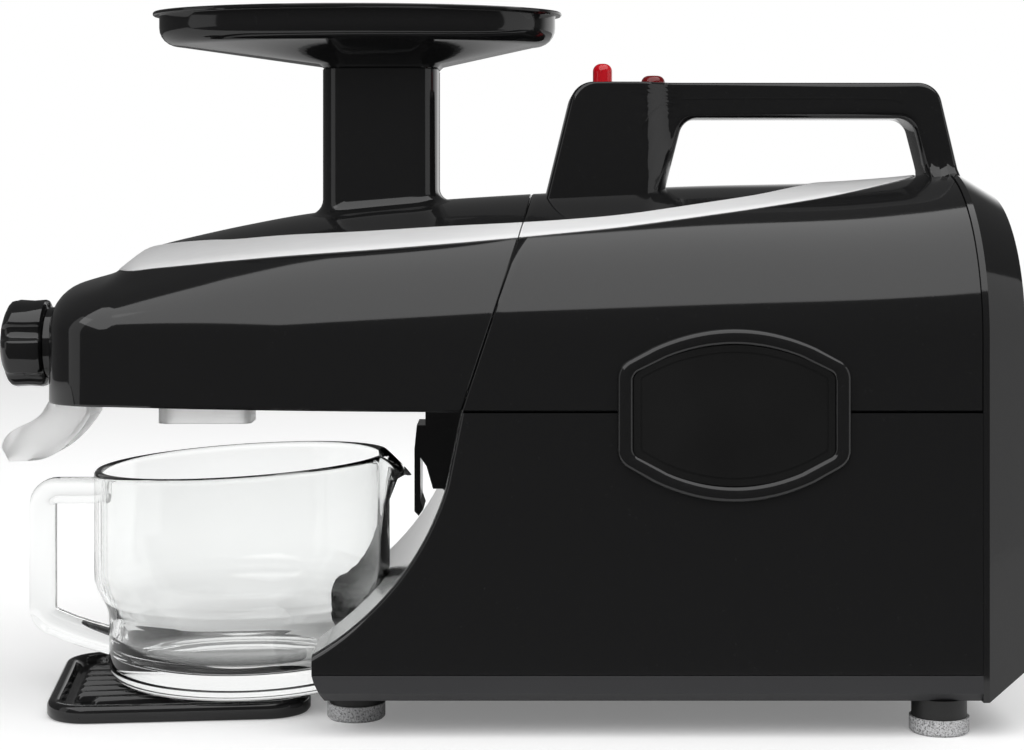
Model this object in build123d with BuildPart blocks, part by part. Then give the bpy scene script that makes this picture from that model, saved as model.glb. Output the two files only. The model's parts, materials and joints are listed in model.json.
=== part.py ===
"""Cold press juicer: a twin-gear kitchen machine with its glass pitcher and tray.

Millimetres. The ground is Z = 0, the feed screws run along X, the pulp outlet
faces -X and the machine is symmetric about the plane Y = 0.
"""
import math
import os

from build123d import *

os.makedirs("parts", exist_ok=True)

# ---------------------------------------------------------------- driving sizes
WALL = 3.0                   # moulded wall of every casing
GAP = 0.3                    # visible gap between neighbouring casings
SEAT = 0.2                   # clearance of a piece in the recess that seats it
RUN = 0.06                   # radial running clearance of a shaft in its bush

BODY_HALF_WIDTH = 87.0
BASE_BOTTOM_Z = 15.4
BASE_TOP_Z = 27.0
MID_SEAM_Z = 140.0           # underside of the juicing housing, top of the lower body
SPRING_Z = 172.0             # where the side walls start to arch inwards
REAR_SEAM_X = 209.3          # casing meets rear cover
REAR_FACE_X = 230.0

NOSE_X = -205.5              # foremost face of the juicing housing
NOSE_HALF_WIDTH = 42.0       # flat of the nose
NOSE_RADIUS = 22.0           # plan radius of the nose corners
HOUSING_FRONT_HALF_WIDTH = NOSE_HALF_WIDTH + NOSE_RADIUS
TAPER_END_X = 0.0            # the plan reaches full width here

SEAM_FOOT_X = -15.3          # slanted joint between housing and body, at MID_SEAM_Z
SEAM_HEAD_X = 16.0           # the same joint at SEAM_HEAD_Z
SEAM_HEAD_Z = 234.2

AXIS_Z = 164.4               # feed screws, outlet knob and gearbox output


# ---------------------------------------------------------------- casing form
def deck_height(x):
    """Height of the casing's crown line above the ground at station x."""
    nose = max(0.0, (DECK_START_X - x) / (DECK_START_X - NOSE_X))
    flare = max(0.0, (x - DECK_FLARE_X) / (REAR_SEAM_X - DECK_FLARE_X))
    rise = 1.0 - math.exp(-(x - DECK_START_X) / DECK_RISE_LENGTH) if x > DECK_START_X else 0.0
    drop = NOSE_DROP * (1.0 - math.sqrt(max(0.0, 1.0 - nose)))
    return DECK_START_Z + DECK_RISE * rise + DECK_FLARE * flare ** 2 - drop


DECK_START_X = -168.0
DECK_START_Z = 205.0
DECK_RISE = 33.0
DECK_RISE_LENGTH = 78.0
DECK_FLARE_X = 120.0
DECK_FLARE = 7.5
NOSE_DROP = 27.0


def half_width(x):
    """Half the casing's width at station x: rounded nose, taper, parallel body."""
    if x < NOSE_X + NOSE_RADIUS:
        run = (x - NOSE_X) / NOSE_RADIUS
        return NOSE_HALF_WIDTH + NOSE_RADIUS * math.sqrt(max(0.0, 1.0 - (1.0 - run) ** 2))
    if x > TAPER_END_X:
        return BODY_HALF_WIDTH
    run = (TAPER_END_X - x) / (TAPER_END_X - NOSE_X - NOSE_RADIUS)
    return BODY_HALF_WIDTH - (BODY_HALF_WIDTH - HOUSING_FRONT_HALF_WIDTH) * run ** 2


def stations():
    nose = [NOSE_X + NOSE_RADIUS * (1.0 - math.cos(math.radians(a))) for a in (0, 25, 45, 65, 90)]
    return nose + [-160, -130, -90, -45, 0, 60, 120, 165, 212]


def casing_form(inset=0.0, bottom=MID_SEAM_Z):
    """Solid of the arched casing, drawn in by inset on its front, sides and top."""
    with BuildPart() as form:
        for x in stations():
            wide = half_width(x) - inset
            high = deck_height(x) - inset - SPRING_Z
            with BuildSketch(Plane.YZ.offset(x + (inset if x <= NOSE_X + 1e-6 else 0.0))):
                with BuildLine():
                    Line((-wide, SPRING_Z), (-wide, bottom))
                    Line((-wide, bottom), (wide, bottom))
                    Line((wide, bottom), (wide, SPRING_Z))
                    EllipticalCenterArc((0, SPRING_Z), wide, high, start_angle=0, arc_size=180)
                make_face()
        loft()
    return form.part


def seam_x(z):
    """Where the slanted joint between housing and body stands at height z."""
    return SEAM_FOOT_X + (z - MID_SEAM_Z) * (SEAM_HEAD_X - SEAM_FOOT_X) / (SEAM_HEAD_Z - MID_SEAM_Z)


REACH = 320.0                # long enough to cut right through the machine


def seam_wedge(shift, toward):
    """All that lies ahead of (toward -1) or behind (+1) the slanted joint moved by shift."""
    low, high = MID_SEAM_Z - REACH / 4, MID_SEAM_Z + REACH / 2
    with BuildPart() as wedge:
        with BuildSketch(Plane.XZ):
            with BuildLine():
                Polyline((seam_x(low) + shift, low), (toward * REACH, low),
                         (toward * REACH, high), (seam_x(high) + shift, high), close=True)
            make_face()
        extrude(amount=REACH, both=True)
    return wedge.part


def slab(x_low, x_high, y_half, z_low, z_high):
    """Plain block, symmetric about Y = 0."""
    with BuildPart() as block:
        with BuildSketch(Plane.XY.offset(z_low)):
            with Locations(((x_low + x_high) / 2, 0)):
                Rectangle(x_high - x_low, 2 * y_half)
        extrude(amount=z_high - z_low)
    return block.part


# ---------------------------------------------------------------- trim ring
TRIM_DEPTH = 1.6             # thickness of the bright trim
TRIM_OUTER = [(-178, 0), (-168, 27), (-119, 55), (-37, 65), (49, 59.5), (113, 45.5), (158, 30), (196, 0)]
TRIM_INNER = [(-166, 0), (-158, 18), (-121, 39.5), (-63, 52), (0, 53.5), (50, 49.5), (100, 37), (150, 0)]


def teardrop(points, grow):
    """Closed plan outline, mirrored about the X axis and grown outwards by grow."""
    nose_x, tail_x = points[0][0] - grow, points[-1][0] + 2 * grow
    side = [(x, y + grow) for x, y in points[1:-1]]
    with BuildSketch() as plan:
        with BuildLine():
            Spline((nose_x, 0), *side, (tail_x, 0), tangents=[(0, 1), (1, -0.5)],
                   tangent_scalars=[1.0, 1.0])
            mirror(about=Plane.XZ)
        make_face()
    return plan.sketch


def trim_band(grow):
    """Ring-shaped column whose underside follows the casing, TRIM_DEPTH below its skin."""
    with BuildPart() as band:
        with BuildSketch(Plane.XY.offset(SPRING_Z)):
            add(teardrop(TRIM_OUTER, grow))
            add(teardrop(TRIM_INNER, -grow), mode=Mode.SUBTRACT)
        extrude(amount=deck_height(REAR_SEAM_X) - SPRING_Z + WALL)
        add(casing_form(inset=TRIM_DEPTH), mode=Mode.SUBTRACT)
    return band.part


def trim_piece(wedge):
    with BuildPart() as piece:
        add(trim_band(0.0))
        add(casing_form(), mode=Mode.INTERSECT)
        add(wedge, mode=Mode.INTERSECT)
    return piece.part


# ---------------------------------------------------------------- pitcher and the scoop it stands in
PITCHER_X = -120.5
PITCHER_RADIUS = 68.9
PITCHER_RIM_Z = 109.7
PITCHER_BAND_RADIUS = 62.0   # narrower band at the foot
PITCHER_SHOULDER_Z = (41.4, 54.6)    # band turns out to the full radius
PITCHER_WALL = 3.4
PITCHER_FOOT_Z = 8.3         # stands on the tray's ribs
SCOOP_GAP = 1.0              # air between pitcher and the machine's scooped front


def pitcher_scoop(grow):
    """Space kept free for the pitcher in the machine's front."""
    band, full = PITCHER_BAND_RADIUS + SCOOP_GAP + grow, PITCHER_RADIUS + SCOOP_GAP + grow
    low, high = PITCHER_SHOULDER_Z
    with BuildPart() as scoop:
        with BuildSketch(Plane.XZ):
            Polygon((PITCHER_X, 0), (PITCHER_X + band, 0), (PITCHER_X + band, low - grow / 2 - SCOOP_GAP),
                    (PITCHER_X + full, high - grow / 2), (PITCHER_X + full, PITCHER_RIM_Z),
                    (PITCHER_X, PITCHER_RIM_Z), align=None)
        revolve(axis=Axis((PITCHER_X, 0, 0), (0, 0, 1)))
    return scoop.part


# ---------------------------------------------------------------- body casings
def finish(part, name):
    """Label a finished piece and write its STEP file."""
    part.label = name
    export_step(part, f"parts/{name}.step")


BODY_TOP = slab(-REACH, REAR_SEAM_X - GAP / 2, REACH, MID_SEAM_Z + GAP / 2, REACH)
DRIVE_PORT_RADIUS = 24.0     # hole in the bulkhead for the gearbox nose
FASTENER_RADIUS = 2.0        # clearance hole of a casing screw


def body_hollow():
    """Space inside the upper body casing, behind its slanted bulkhead."""
    with BuildPart() as hollow:
        add(casing_form(inset=WALL))
        add(seam_wedge(GAP / 2 + WALL, 1), mode=Mode.INTERSECT)
    return hollow.part


with BuildPart() as upper_body_shell:
    add(casing_form())
    add(seam_wedge(GAP / 2, 1), mode=Mode.INTERSECT)
    add(BODY_TOP, mode=Mode.INTERSECT)
    add(body_hollow(), mode=Mode.SUBTRACT)
    add(trim_band(SEAT), mode=Mode.SUBTRACT)
    with BuildSketch(Plane.YZ.offset(SEAM_FOOT_X - WALL)):
        with Locations((0, AXIS_Z)):
            Circle(DRIVE_PORT_RADIUS)
    extrude(amount=REACH / 8, mode=Mode.SUBTRACT)
finish(upper_body_shell.part, "upper_body_shell")

BASE_FRONT_X = -79.5         # toe of the base under the outlet
ARC_HEAD = (-21.7, 108.2)    # concave front of the lower body, from the joint ...
ARC_MID = (-43.5, 66.5)
ARC_TOE = (BASE_FRONT_X, 35.6)   # ... down to the toe


def lower_profile(plane, inset):
    """Side outline of the lower body, its front drawn in by inset."""
    with BuildSketch(plane) as outline:
        with BuildLine():
            front = ThreePointArc((ARC_HEAD[0] + inset, ARC_HEAD[1]), (ARC_MID[0] + inset, ARC_MID[1] - inset / 2),
                                  (ARC_TOE[0] + inset, ARC_TOE[1] - inset))
            Polyline(front @ 0, (SEAM_FOOT_X + inset, MID_SEAM_Z), (REAR_SEAM_X, MID_SEAM_Z),
                     (REAR_SEAM_X, BASE_TOP_Z), (ARC_TOE[0] + inset, BASE_TOP_Z), front @ 1)
        make_face()
    return outline.sketch


def side_solid(face, half_width):
    """Side outline stood on Y = 0 and extruded to both sides."""
    with BuildPart() as solid:
        with BuildSketch(Plane.XZ):
            add(face)
        extrude(amount=half_width, both=True)
    return solid.part


def lower_hollow():
    """Space inside the lower body casing, a wall away from its outside and from the scoop."""
    with BuildPart() as hollow:
        add(side_solid(lower_profile(Plane.XY, WALL), BODY_HALF_WIDTH - WALL))
        add(pitcher_scoop(WALL), mode=Mode.SUBTRACT)
    return hollow.part


with BuildPart() as lower_body_shell:
    add(side_solid(lower_profile(Plane.XY, 0.0), BODY_HALF_WIDTH))
    front_edges = lower_body_shell.edges().filter_by(GeomType.CIRCLE)
    fillet(front_edges, radius=3.0)
    add(pitcher_scoop(0.0), mode=Mode.SUBTRACT)
    add(lower_hollow(), mode=Mode.SUBTRACT)
    add(slab(-REACH, REACH, REACH, 0, BASE_TOP_Z + GAP), mode=Mode.SUBTRACT)
    add(slab(-REACH, REACH, REACH, MID_SEAM_Z - GAP / 2, REACH), mode=Mode.SUBTRACT)
    add(slab(REAR_SEAM_X - GAP / 2, REACH, REACH, 0, REACH), mode=Mode.SUBTRACT)
finish(lower_body_shell.part, "lower_body_shell")

BASE_CHAMFER = 4.0
BASE_FLOOR = 3.0

def base_pocket():
    """Hollow in the top of the base plate, inside its rim."""
    with BuildPart() as pocket:
        add(slab(BASE_FRONT_X + 2 * WALL, REAR_SEAM_X - WALL, BODY_HALF_WIDTH - 2 * WALL,
                 BASE_BOTTOM_Z + BASE_FLOOR, REACH))
        add(pitcher_scoop(2 * WALL), mode=Mode.SUBTRACT)
    return pocket.part


with BuildPart() as base_plate:
    with BuildSketch(Plane.XZ):
        with BuildLine():
            Polyline((BASE_FRONT_X, BASE_TOP_Z), (BASE_FRONT_X + 1.0, BASE_TOP_Z - 3.4),
                     (BASE_FRONT_X + 5.2, BASE_BOTTOM_Z), (REAR_SEAM_X, BASE_BOTTOM_Z),
                     (REAR_SEAM_X, BASE_TOP_Z), close=True)
        make_face()
    extrude(amount=BODY_HALF_WIDTH, both=True)
    chamfer(base_plate.edges().filter_by(Axis.X).group_by(Axis.Z)[0], length=BASE_CHAMFER)
    add(pitcher_scoop(0.0), mode=Mode.SUBTRACT)
    add(base_pocket(), mode=Mode.SUBTRACT)
    with BuildSketch(Plane.XY.offset(BASE_BOTTOM_Z)):
        with Locations((95, 0)):
            with GridLocations(0, 9, 1, 9):
                SlotOverall(70, 4)
    extrude(amount=BASE_FLOOR, mode=Mode.SUBTRACT)
finish(base_plate.part, "base_plate")

# ---------------------------------------------------------------- rear cover
COVER_FLANGE_X = 212.0
COVER_INSET = 11.0           # chamfer of the cover, seen along the machine


def cover_outline(plane, inset):
    """Full rear outline of the machine, drawn in by inset."""
    wide = BODY_HALF_WIDTH - inset
    high = deck_height(REAR_SEAM_X) - SPRING_Z - inset
    with BuildSketch(plane) as outline:
        with BuildLine():
            Polyline((-wide, SPRING_Z), (-wide, BASE_BOTTOM_Z + inset), (wide, BASE_BOTTOM_Z + inset),
                     (wide, SPRING_Z))
            EllipticalCenterArc((0, SPRING_Z), wide, high, start_angle=0, arc_size=180)
        make_face()
    return outline.sketch


def cover_form(inset):
    with BuildPart() as form:
        with BuildSketch(Plane.YZ.offset(REAR_SEAM_X)):
            add(cover_outline(Plane.XY, inset))
        extrude(amount=COVER_FLANGE_X - REAR_SEAM_X)
        with BuildSketch(Plane.YZ.offset(COVER_FLANGE_X)):
            add(cover_outline(Plane.XY, inset))
        with BuildSketch(Plane.YZ.offset(REAR_FACE_X - inset)):
            add(cover_outline(Plane.XY, inset + COVER_INSET))
        loft(ruled=True)
    return form.part


VENT_ROWS = 9
VENT_PITCH = 7.0
VENT_SIZE = (52.0, 3.0)
VENT_Z = 178.0
SWITCH_Y, SWITCH_Z = -38.0, 70.0
SWITCH_SIZE = (22.0, 30.0)   # width and height of the rocker's frame opening
INLET_Y, INLET_Z = 38.0, 70.0
INLET_SIZE = (31.0, 24.0)

with BuildPart() as rear_cover:
    add(cover_form(0.0))
    add(cover_form(WALL), mode=Mode.SUBTRACT)
    with BuildSketch(Plane.YZ.offset(REAR_FACE_X - 2 * WALL)):
        with Locations((-VENT_SIZE[0] / 2 - 3, VENT_Z), (VENT_SIZE[0] / 2 + 3, VENT_Z)):
            with GridLocations(0, VENT_PITCH, 1, VENT_ROWS):
                SlotOverall(*VENT_SIZE)
        with Locations((SWITCH_Y, SWITCH_Z)):
            Rectangle(*SWITCH_SIZE)
        with Locations((INLET_Y, INLET_Z)):
            Rectangle(*INLET_SIZE)
    extrude(amount=REACH / 4, mode=Mode.SUBTRACT)
finish(rear_cover.part, "rear_cover")

# ---------------------------------------------------------------- juicing housing
CHUTE_X = -54.4              # centre of the feed chute
CHUTE_SIZE = (53.6, 48.0)    # outside, along and across the machine
CHUTE_RADIUS = 12.0
CHUTE_TOP_Z = 292.6
CHUTE_FLARE = 6.0            # fillet where the chute grows out of the deck
CHUTE_BASE_Z = SPRING_Z + 20.0
NOSE_BORE_RADIUS = 17.0      # hole in the nose for the outlet casing
JUICE_PORT = (-136.5, 44.0, 26.0)    # centre X, length, width of the juice opening
PULP_PORT = (-198.0, 24.0, 34.0)     # the same for the pulp chute under the nose
HOUSING_BOTTOM_Z = MID_SEAM_Z + GAP / 2


def chute_column(inset, z_low, z_high):
    """Rounded rectangular column of the feed chute."""
    with BuildPart() as column:
        with BuildSketch(Plane.XY.offset(z_low)):
            with Locations((CHUTE_X, 0)):
                RectangleRounded(CHUTE_SIZE[0] - 2 * inset, CHUTE_SIZE[1] - 2 * inset, CHUTE_RADIUS - inset)
        extrude(amount=z_high - z_low)
    return column.part


def housing_hollow():
    """Space inside the juicing housing, open towards the slanted joint."""
    with BuildPart() as hollow:
        add(casing_form(inset=WALL))
        add(slab(-REACH, REACH, REACH, MID_SEAM_Z + WALL, REACH), mode=Mode.INTERSECT)
    return hollow.part


def floor_port(port, z_low, z_high):
    centre_x, length, width = port
    with BuildPart() as opening:
        with BuildSketch(Plane.XY.offset(z_low)):
            with Locations((centre_x, 0)):
                RectangleRounded(length, width, 5.0)
        extrude(amount=z_high - z_low)
    return opening.part


with BuildPart() as juicing_housing:
    add(casing_form())
    add(seam_wedge(-GAP / 2, -1), mode=Mode.INTERSECT)
    skin_edges = juicing_housing.edges()
    add(chute_column(0.0, CHUTE_BASE_Z, CHUTE_TOP_Z))
    foot_edges = (juicing_housing.edges() - skin_edges).filter_by_position(Axis.Z, CHUTE_BASE_Z, CHUTE_TOP_Z - 20)
    foot_edges = foot_edges.filter_by(lambda e: abs(e.tangent_at(0.5).Z) < 0.6)
    fillet(foot_edges, radius=CHUTE_FLARE)
    add(housing_hollow(), mode=Mode.SUBTRACT)
    add(chute_column(WALL, CHUTE_BASE_Z - 10, REACH), mode=Mode.SUBTRACT)
    add(trim_band(SEAT), mode=Mode.SUBTRACT)
    with BuildSketch(Plane.YZ.offset(NOSE_X - WALL)):
        with Locations((0, AXIS_Z)):
            Circle(NOSE_BORE_RADIUS)
    extrude(amount=3 * WALL, mode=Mode.SUBTRACT)
    add(floor_port(JUICE_PORT, MID_SEAM_Z - WALL, MID_SEAM_Z + 2 * WALL), mode=Mode.SUBTRACT)
    add(floor_port(PULP_PORT, MID_SEAM_Z - WALL, MID_SEAM_Z + 2 * WALL), mode=Mode.SUBTRACT)
    add(slab(-REACH, REACH, REACH, 0, HOUSING_BOTTOM_Z), mode=Mode.SUBTRACT)
finish(juicing_housing.part, "juicing_housing")

finish(trim_piece(seam_wedge(GAP / 2, 1)), "body_trim_strip")
finish(trim_piece(seam_wedge(-GAP / 2, -1)), "housing_trim_strip")

# ---------------------------------------------------------------- hopper tray
TRAY_X = -66.0
TRAY_SIZE = (192.0, 114.0)
TRAY_RADIUS = 54.0
TRAY_TOP_Z = 319.5
TRAY_LIP = 2.3               # thickness of the overhanging lip
TRAY_LIP_REACH = 3.0
TRAY_WALL_FOOT_Z = 306.5
TRAY_NECK_Z = 293.2          # underside of the tray at the neck
TRAY_THICKNESS = 2.6
NECK_SIZE = (47.0, 41.0)
NECK_DEPTH = 30.0            # how far the neck plugs into the chute
NECK_WALL = 2.2


def oval(z, centre_x, size, radius):
    with BuildSketch(Plane.XY.offset(z)) as shape:
        with Locations((centre_x, 0)):
            RectangleRounded(size[0], size[1], min(radius, size[1] / 2 - 0.5))
    return shape.sketch


def tray_form(inset):
    """Dish of the tray: slanted underside, rounded turn and upright wall."""
    def shrunk(by):
        return (TRAY_SIZE[0] - 2 * (by + inset), TRAY_SIZE[1] - 2 * (by + inset))
    reach = TRAY_LIP_REACH
    with BuildPart() as dish:
        add(oval(TRAY_NECK_Z + inset, CHUTE_X - 0.2, (CHUTE_SIZE[0] - 2 * inset, CHUTE_SIZE[1] - 2 * inset),
                 CHUTE_RADIUS))
        add(oval(TRAY_WALL_FOOT_Z - 4.0 + inset, TRAY_X, shrunk(reach + 7.0), TRAY_RADIUS - reach - 7.0))
        loft(ruled=True)
        add(oval(TRAY_WALL_FOOT_Z - 4.0 + inset, TRAY_X, shrunk(reach + 7.0), TRAY_RADIUS - reach - 7.0))
        add(oval(TRAY_WALL_FOOT_Z - 1.2 + inset, TRAY_X, shrunk(reach + 2.2), TRAY_RADIUS - reach - 2.2))
        loft(ruled=True)
        add(oval(TRAY_WALL_FOOT_Z - 1.2 + inset, TRAY_X, shrunk(reach + 2.2), TRAY_RADIUS - reach - 2.2))
        add(oval(TRAY_WALL_FOOT_Z + 2.0 + inset, TRAY_X, shrunk(reach), TRAY_RADIUS - reach))
        loft(ruled=True)
        add(oval(TRAY_WALL_FOOT_Z + 2.0 + inset, TRAY_X, shrunk(reach), TRAY_RADIUS - reach))
        extrude(amount=TRAY_TOP_Z - TRAY_WALL_FOOT_Z - 2.0)
    return dish.part


with BuildPart() as hopper_tray:
    add(tray_form(0.0))
    with BuildSketch(Plane.XY.offset(TRAY_TOP_Z - TRAY_LIP)):
        add(oval(0, TRAY_X, TRAY_SIZE, TRAY_RADIUS))
    extrude(amount=TRAY_LIP)
    with BuildSketch(Plane.XY.offset(TRAY_NECK_Z - NECK_DEPTH)):
        add(oval(0, CHUTE_X, NECK_SIZE, CHUTE_RADIUS - WALL + GAP))
    extrude(amount=NECK_DEPTH + WALL)
    add(tray_form(TRAY_THICKNESS), mode=Mode.SUBTRACT)
    add(slab(-REACH, REACH, REACH, TRAY_TOP_Z, REACH + 20), mode=Mode.SUBTRACT)
    with BuildSketch(Plane.XY.offset(TRAY_NECK_Z - NECK_DEPTH)):
        add(oval(0, CHUTE_X, (NECK_SIZE[0] - 2 * NECK_WALL, NECK_SIZE[1] - 2 * NECK_WALL), 4.0))
    extrude(amount=NECK_DEPTH + 4 * WALL, mode=Mode.SUBTRACT)
finish(hopper_tray.part, "hopper_tray")

# ---------------------------------------------------------------- carry handle
HANDLE_TOP_Z = 286.0
HANDLE_OUTER = [(20.5, 226), (32.3, 276.6), (42.2, HANDLE_TOP_Z), (192.4, HANDLE_TOP_Z), (205.1, 275.2),
                (208.8, 226)]
HANDLE_OPENING = [(76.0, 226), (78.3, 238.4), (87.6, 264.5), (93.2, 268.6), (178.2, 268.6), (188.1, 258.2),
                  (191.5, 245.5), (192.5, 226)]
BLOCK_HALF_WIDTH = 25.0
GRIP_HALF_WIDTH = 15.0
PILLAR_HALF_WIDTH = 19.0
GRIP_SPLIT_Z = 278.0         # parting line along the grip
BUTTON_X = 49.3
BUTTON_RADIUS = 4.55
BUTTON_TOP_Z = 295.6
LENS_X = 73.1
LENS_RADIUS = 5.65
LENS_TOP_Z = 289.9
BUTTON_WELL_Z = 262.0        # floor of the button's bore
LENS_SEAT_Z = HANDLE_TOP_Z - 6.0


def handle_plan():
    """Half-width of the handle along the machine, block to grip to rear pillar."""
    with BuildSketch(Plane.XY.offset(SPRING_Z)) as plan:
        with BuildLine():
            Polyline((18, 0), (18, BLOCK_HALF_WIDTH - 5), (23, BLOCK_HALF_WIDTH), (74, BLOCK_HALF_WIDTH))
            Bezier((74, BLOCK_HALF_WIDTH), (88, BLOCK_HALF_WIDTH), (84, GRIP_HALF_WIDTH), (98, GRIP_HALF_WIDTH))
            Line((98, GRIP_HALF_WIDTH), (172, GRIP_HALF_WIDTH))
            Bezier((172, GRIP_HALF_WIDTH), (190, GRIP_HALF_WIDTH), (190, PILLAR_HALF_WIDTH),
                   (215, PILLAR_HALF_WIDTH))
            Line((215, PILLAR_HALF_WIDTH), (215, 0))
            mirror(about=Plane.XZ)
        make_face()
    return plan.sketch


def handle_form():
    with BuildPart() as form:
        with BuildSketch(Plane.XZ):
            Polygon(*HANDLE_OUTER, align=None)
            Polygon(*HANDLE_OPENING, align=None, mode=Mode.SUBTRACT)
        extrude(amount=BLOCK_HALF_WIDTH + 5, both=True)
        corners = form.edges().filter_by(Axis.Y)
        outer = corners.filter_by_position(Axis.Z, 270, 290)
        fillet(outer.filter_by_position(Axis.X, 25, 45) + outer.filter_by_position(Axis.X, 190, 210), radius=7.0)
        with BuildPart(mode=Mode.INTERSECT):
            add(handle_plan())
            extrude(amount=REACH)
        rim = form.edges().group_by(Axis.Z)[-1]
        fillet(rim, radius=3.0)
    return form.part


def button_bores():
    """Bores of the lock button and of the indicator lens in the handle's block."""
    with BuildPart() as bores:
        with BuildSketch(Plane.XY.offset(BUTTON_WELL_Z)):
            with Locations((BUTTON_X, 0)):
                Circle(BUTTON_RADIUS + GAP)
        extrude(amount=REACH / 4)
        with BuildSketch(Plane.XY.offset(LENS_SEAT_Z)):
            with Locations((LENS_X, 0)):
                Circle(LENS_RADIUS)
        extrude(amount=REACH / 4)
    return bores.part


HANDLE = handle_form()
GRIP_LID = slab(87.0, 203.0, REACH, GRIP_SPLIT_Z, REACH)

with BuildPart() as carry_handle:
    add(HANDLE)
    add(casing_form(), mode=Mode.SUBTRACT)
    add(GRIP_LID, mode=Mode.SUBTRACT)
    add(button_bores(), mode=Mode.SUBTRACT)
finish(carry_handle.part, "carry_handle")

with BuildPart() as grip_cover:
    add(HANDLE)
    add(slab(87.0 + GAP, 203.0 - GAP, REACH, GRIP_SPLIT_Z + 0.1, REACH), mode=Mode.INTERSECT)
finish(grip_cover.part, "grip_cover")

# ---------------------------------------------------------------- lock button and indicator
with BuildPart() as lock_button:
    with BuildSketch(Plane.XY.offset(BUTTON_WELL_Z + 10.0)):
        with Locations((BUTTON_X, 0)):
            Circle(BUTTON_RADIUS)
    extrude(amount=BUTTON_TOP_Z - BUTTON_WELL_Z - 10.0)
    fillet(lock_button.edges().group_by(Axis.Z)[-1], radius=BUTTON_RADIUS - 0.8)
finish(lock_button.part, "lock_button")

SPRING_TURNS = 5
SPRING_WIRE = 0.7

with BuildPart() as lock_spring:
    for turn in range(SPRING_TURNS):
        ring_z = BUTTON_WELL_Z + SPRING_WIRE + turn * (10.0 - 2 * SPRING_WIRE) / (SPRING_TURNS - 1)
        with BuildSketch(Plane.XZ):
            with Locations((BUTTON_X + BUTTON_RADIUS - 1.5, ring_z)):
                Circle(SPRING_WIRE)
        revolve(axis=Axis((BUTTON_X, 0, 0), (0, 0, 1)))
    with BuildSketch(Plane.XY.offset(BUTTON_WELL_Z)):
        with Locations((BUTTON_X + BUTTON_RADIUS - 1.5, 0)):
            Circle(SPRING_WIRE / 2)
    extrude(amount=10.0)
finish(lock_spring.part, "lock_spring")

with BuildPart() as indicator_lens:
    with BuildSketch(Plane.XY.offset(LENS_SEAT_Z)):
        with Locations((LENS_X, 0)):
            Circle(LENS_RADIUS - 0.05)
    extrude(amount=LENS_TOP_Z - LENS_SEAT_Z)
    fillet(indicator_lens.edges().group_by(Axis.Z)[-1], radius=3.4)
finish(indicator_lens.part, "indicator_lens")

# ---------------------------------------------------------------- badge on the near side
BADGE_X = 102.2
BADGE_HALF_LENGTH = 50.2
BADGE_SIDE_Z = (119.0, 160.0)        # ends of the straight sides
BADGE_ARCH_Z = (101.7, 176.2)        # lowest and highest point of the arches
BEZEL_BAND = 6.8
BEZEL_PROUD = 2.4
BEZEL_CHAMFER = 1.4
PLATE_PROUD = 1.2


def badge_outline(inset):
    low, high = BADGE_SIDE_Z
    with BuildSketch() as outline:
        with BuildLine():
            left, right = BADGE_X - BADGE_HALF_LENGTH + inset, BADGE_X + BADGE_HALF_LENGTH - inset
            Line((left, low + inset / 2), (left, high - inset / 2))
            ThreePointArc((left, high - inset / 2), (BADGE_X, BADGE_ARCH_Z[1] - inset), (right, high - inset / 2))
            Line((right, high - inset / 2), (right, low + inset / 2))
            ThreePointArc((right, low + inset / 2), (BADGE_X, BADGE_ARCH_Z[0] + inset), (left, low + inset / 2))
        make_face()
        fillet(outline.vertices(), radius=9.0 - 0.7 * inset)
    return outline.sketch


NEAR_WALL = Plane(origin=(0, -BODY_HALF_WIDTH - SEAT, 0), x_dir=(1, 0, 0), z_dir=(0, -1, 0))

with BuildPart() as badge_bezel:
    with BuildSketch(NEAR_WALL):
        add(badge_outline(0.0))
    extrude(amount=BEZEL_PROUD)
    chamfer(badge_bezel.faces().sort_by(Axis.Y)[0].outer_wire().edges(), length=BEZEL_CHAMFER)
    with BuildSketch(NEAR_WALL):
        add(badge_outline(BEZEL_BAND))
    extrude(amount=BEZEL_PROUD, mode=Mode.SUBTRACT)
finish(badge_bezel.part, "badge_bezel")

with BuildPart() as badge_plate:
    with BuildSketch(NEAR_WALL):
        add(badge_outline(BEZEL_BAND + SEAT))
    extrude(amount=PLATE_PROUD)
    with BuildSketch(NEAR_WALL.offset(PLATE_PROUD - 0.3)):
        add(badge_outline(BEZEL_BAND + 3.0))
        add(badge_outline(BEZEL_BAND + 3.8), mode=Mode.SUBTRACT)
    extrude(amount=1.0, mode=Mode.SUBTRACT)
finish(badge_plate.part, "badge_plate")

# ---------------------------------------------------------------- feet
FEET = [(-63.0, -48.0), (-63.0, 48.0), (193.0, -73.0), (193.0, 73.0)]
FOOT_RADIUS = 13.0
PAD_HEIGHT = 7.0
FOOT_BORE = 2.6
FOOT_SCREW_RADIUS = 2.5
SCREW_HEAD_RADIUS = 4.5

with BuildPart() as foot_stems:
    with BuildSketch(Plane.XY.offset(PAD_HEIGHT)):
        with Locations(*FEET):
            Circle(FOOT_RADIUS - 1.0)
            Circle(FOOT_BORE, mode=Mode.SUBTRACT)
    extrude(amount=BASE_BOTTOM_Z - PAD_HEIGHT)
finish(foot_stems.part, "foot_stems")

with BuildPart() as foot_pads:
    with BuildSketch():
        with Locations(*FEET):
            Circle(FOOT_RADIUS)
    extrude(amount=PAD_HEIGHT)
    chamfer(foot_pads.edges().group_by(Axis.Z)[0], length=1.0)
    with BuildSketch(Plane.XY.offset(PAD_HEIGHT - 4.5)):
        with Locations(*FEET):
            Circle(SCREW_HEAD_RADIUS + SEAT)
    extrude(amount=-PAD_HEIGHT, mode=Mode.SUBTRACT)
    with BuildSketch():
        with Locations(*FEET):
            Circle(FOOT_BORE)
    extrude(amount=PAD_HEIGHT, mode=Mode.SUBTRACT)
finish(foot_pads.part, "foot_pads")

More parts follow.
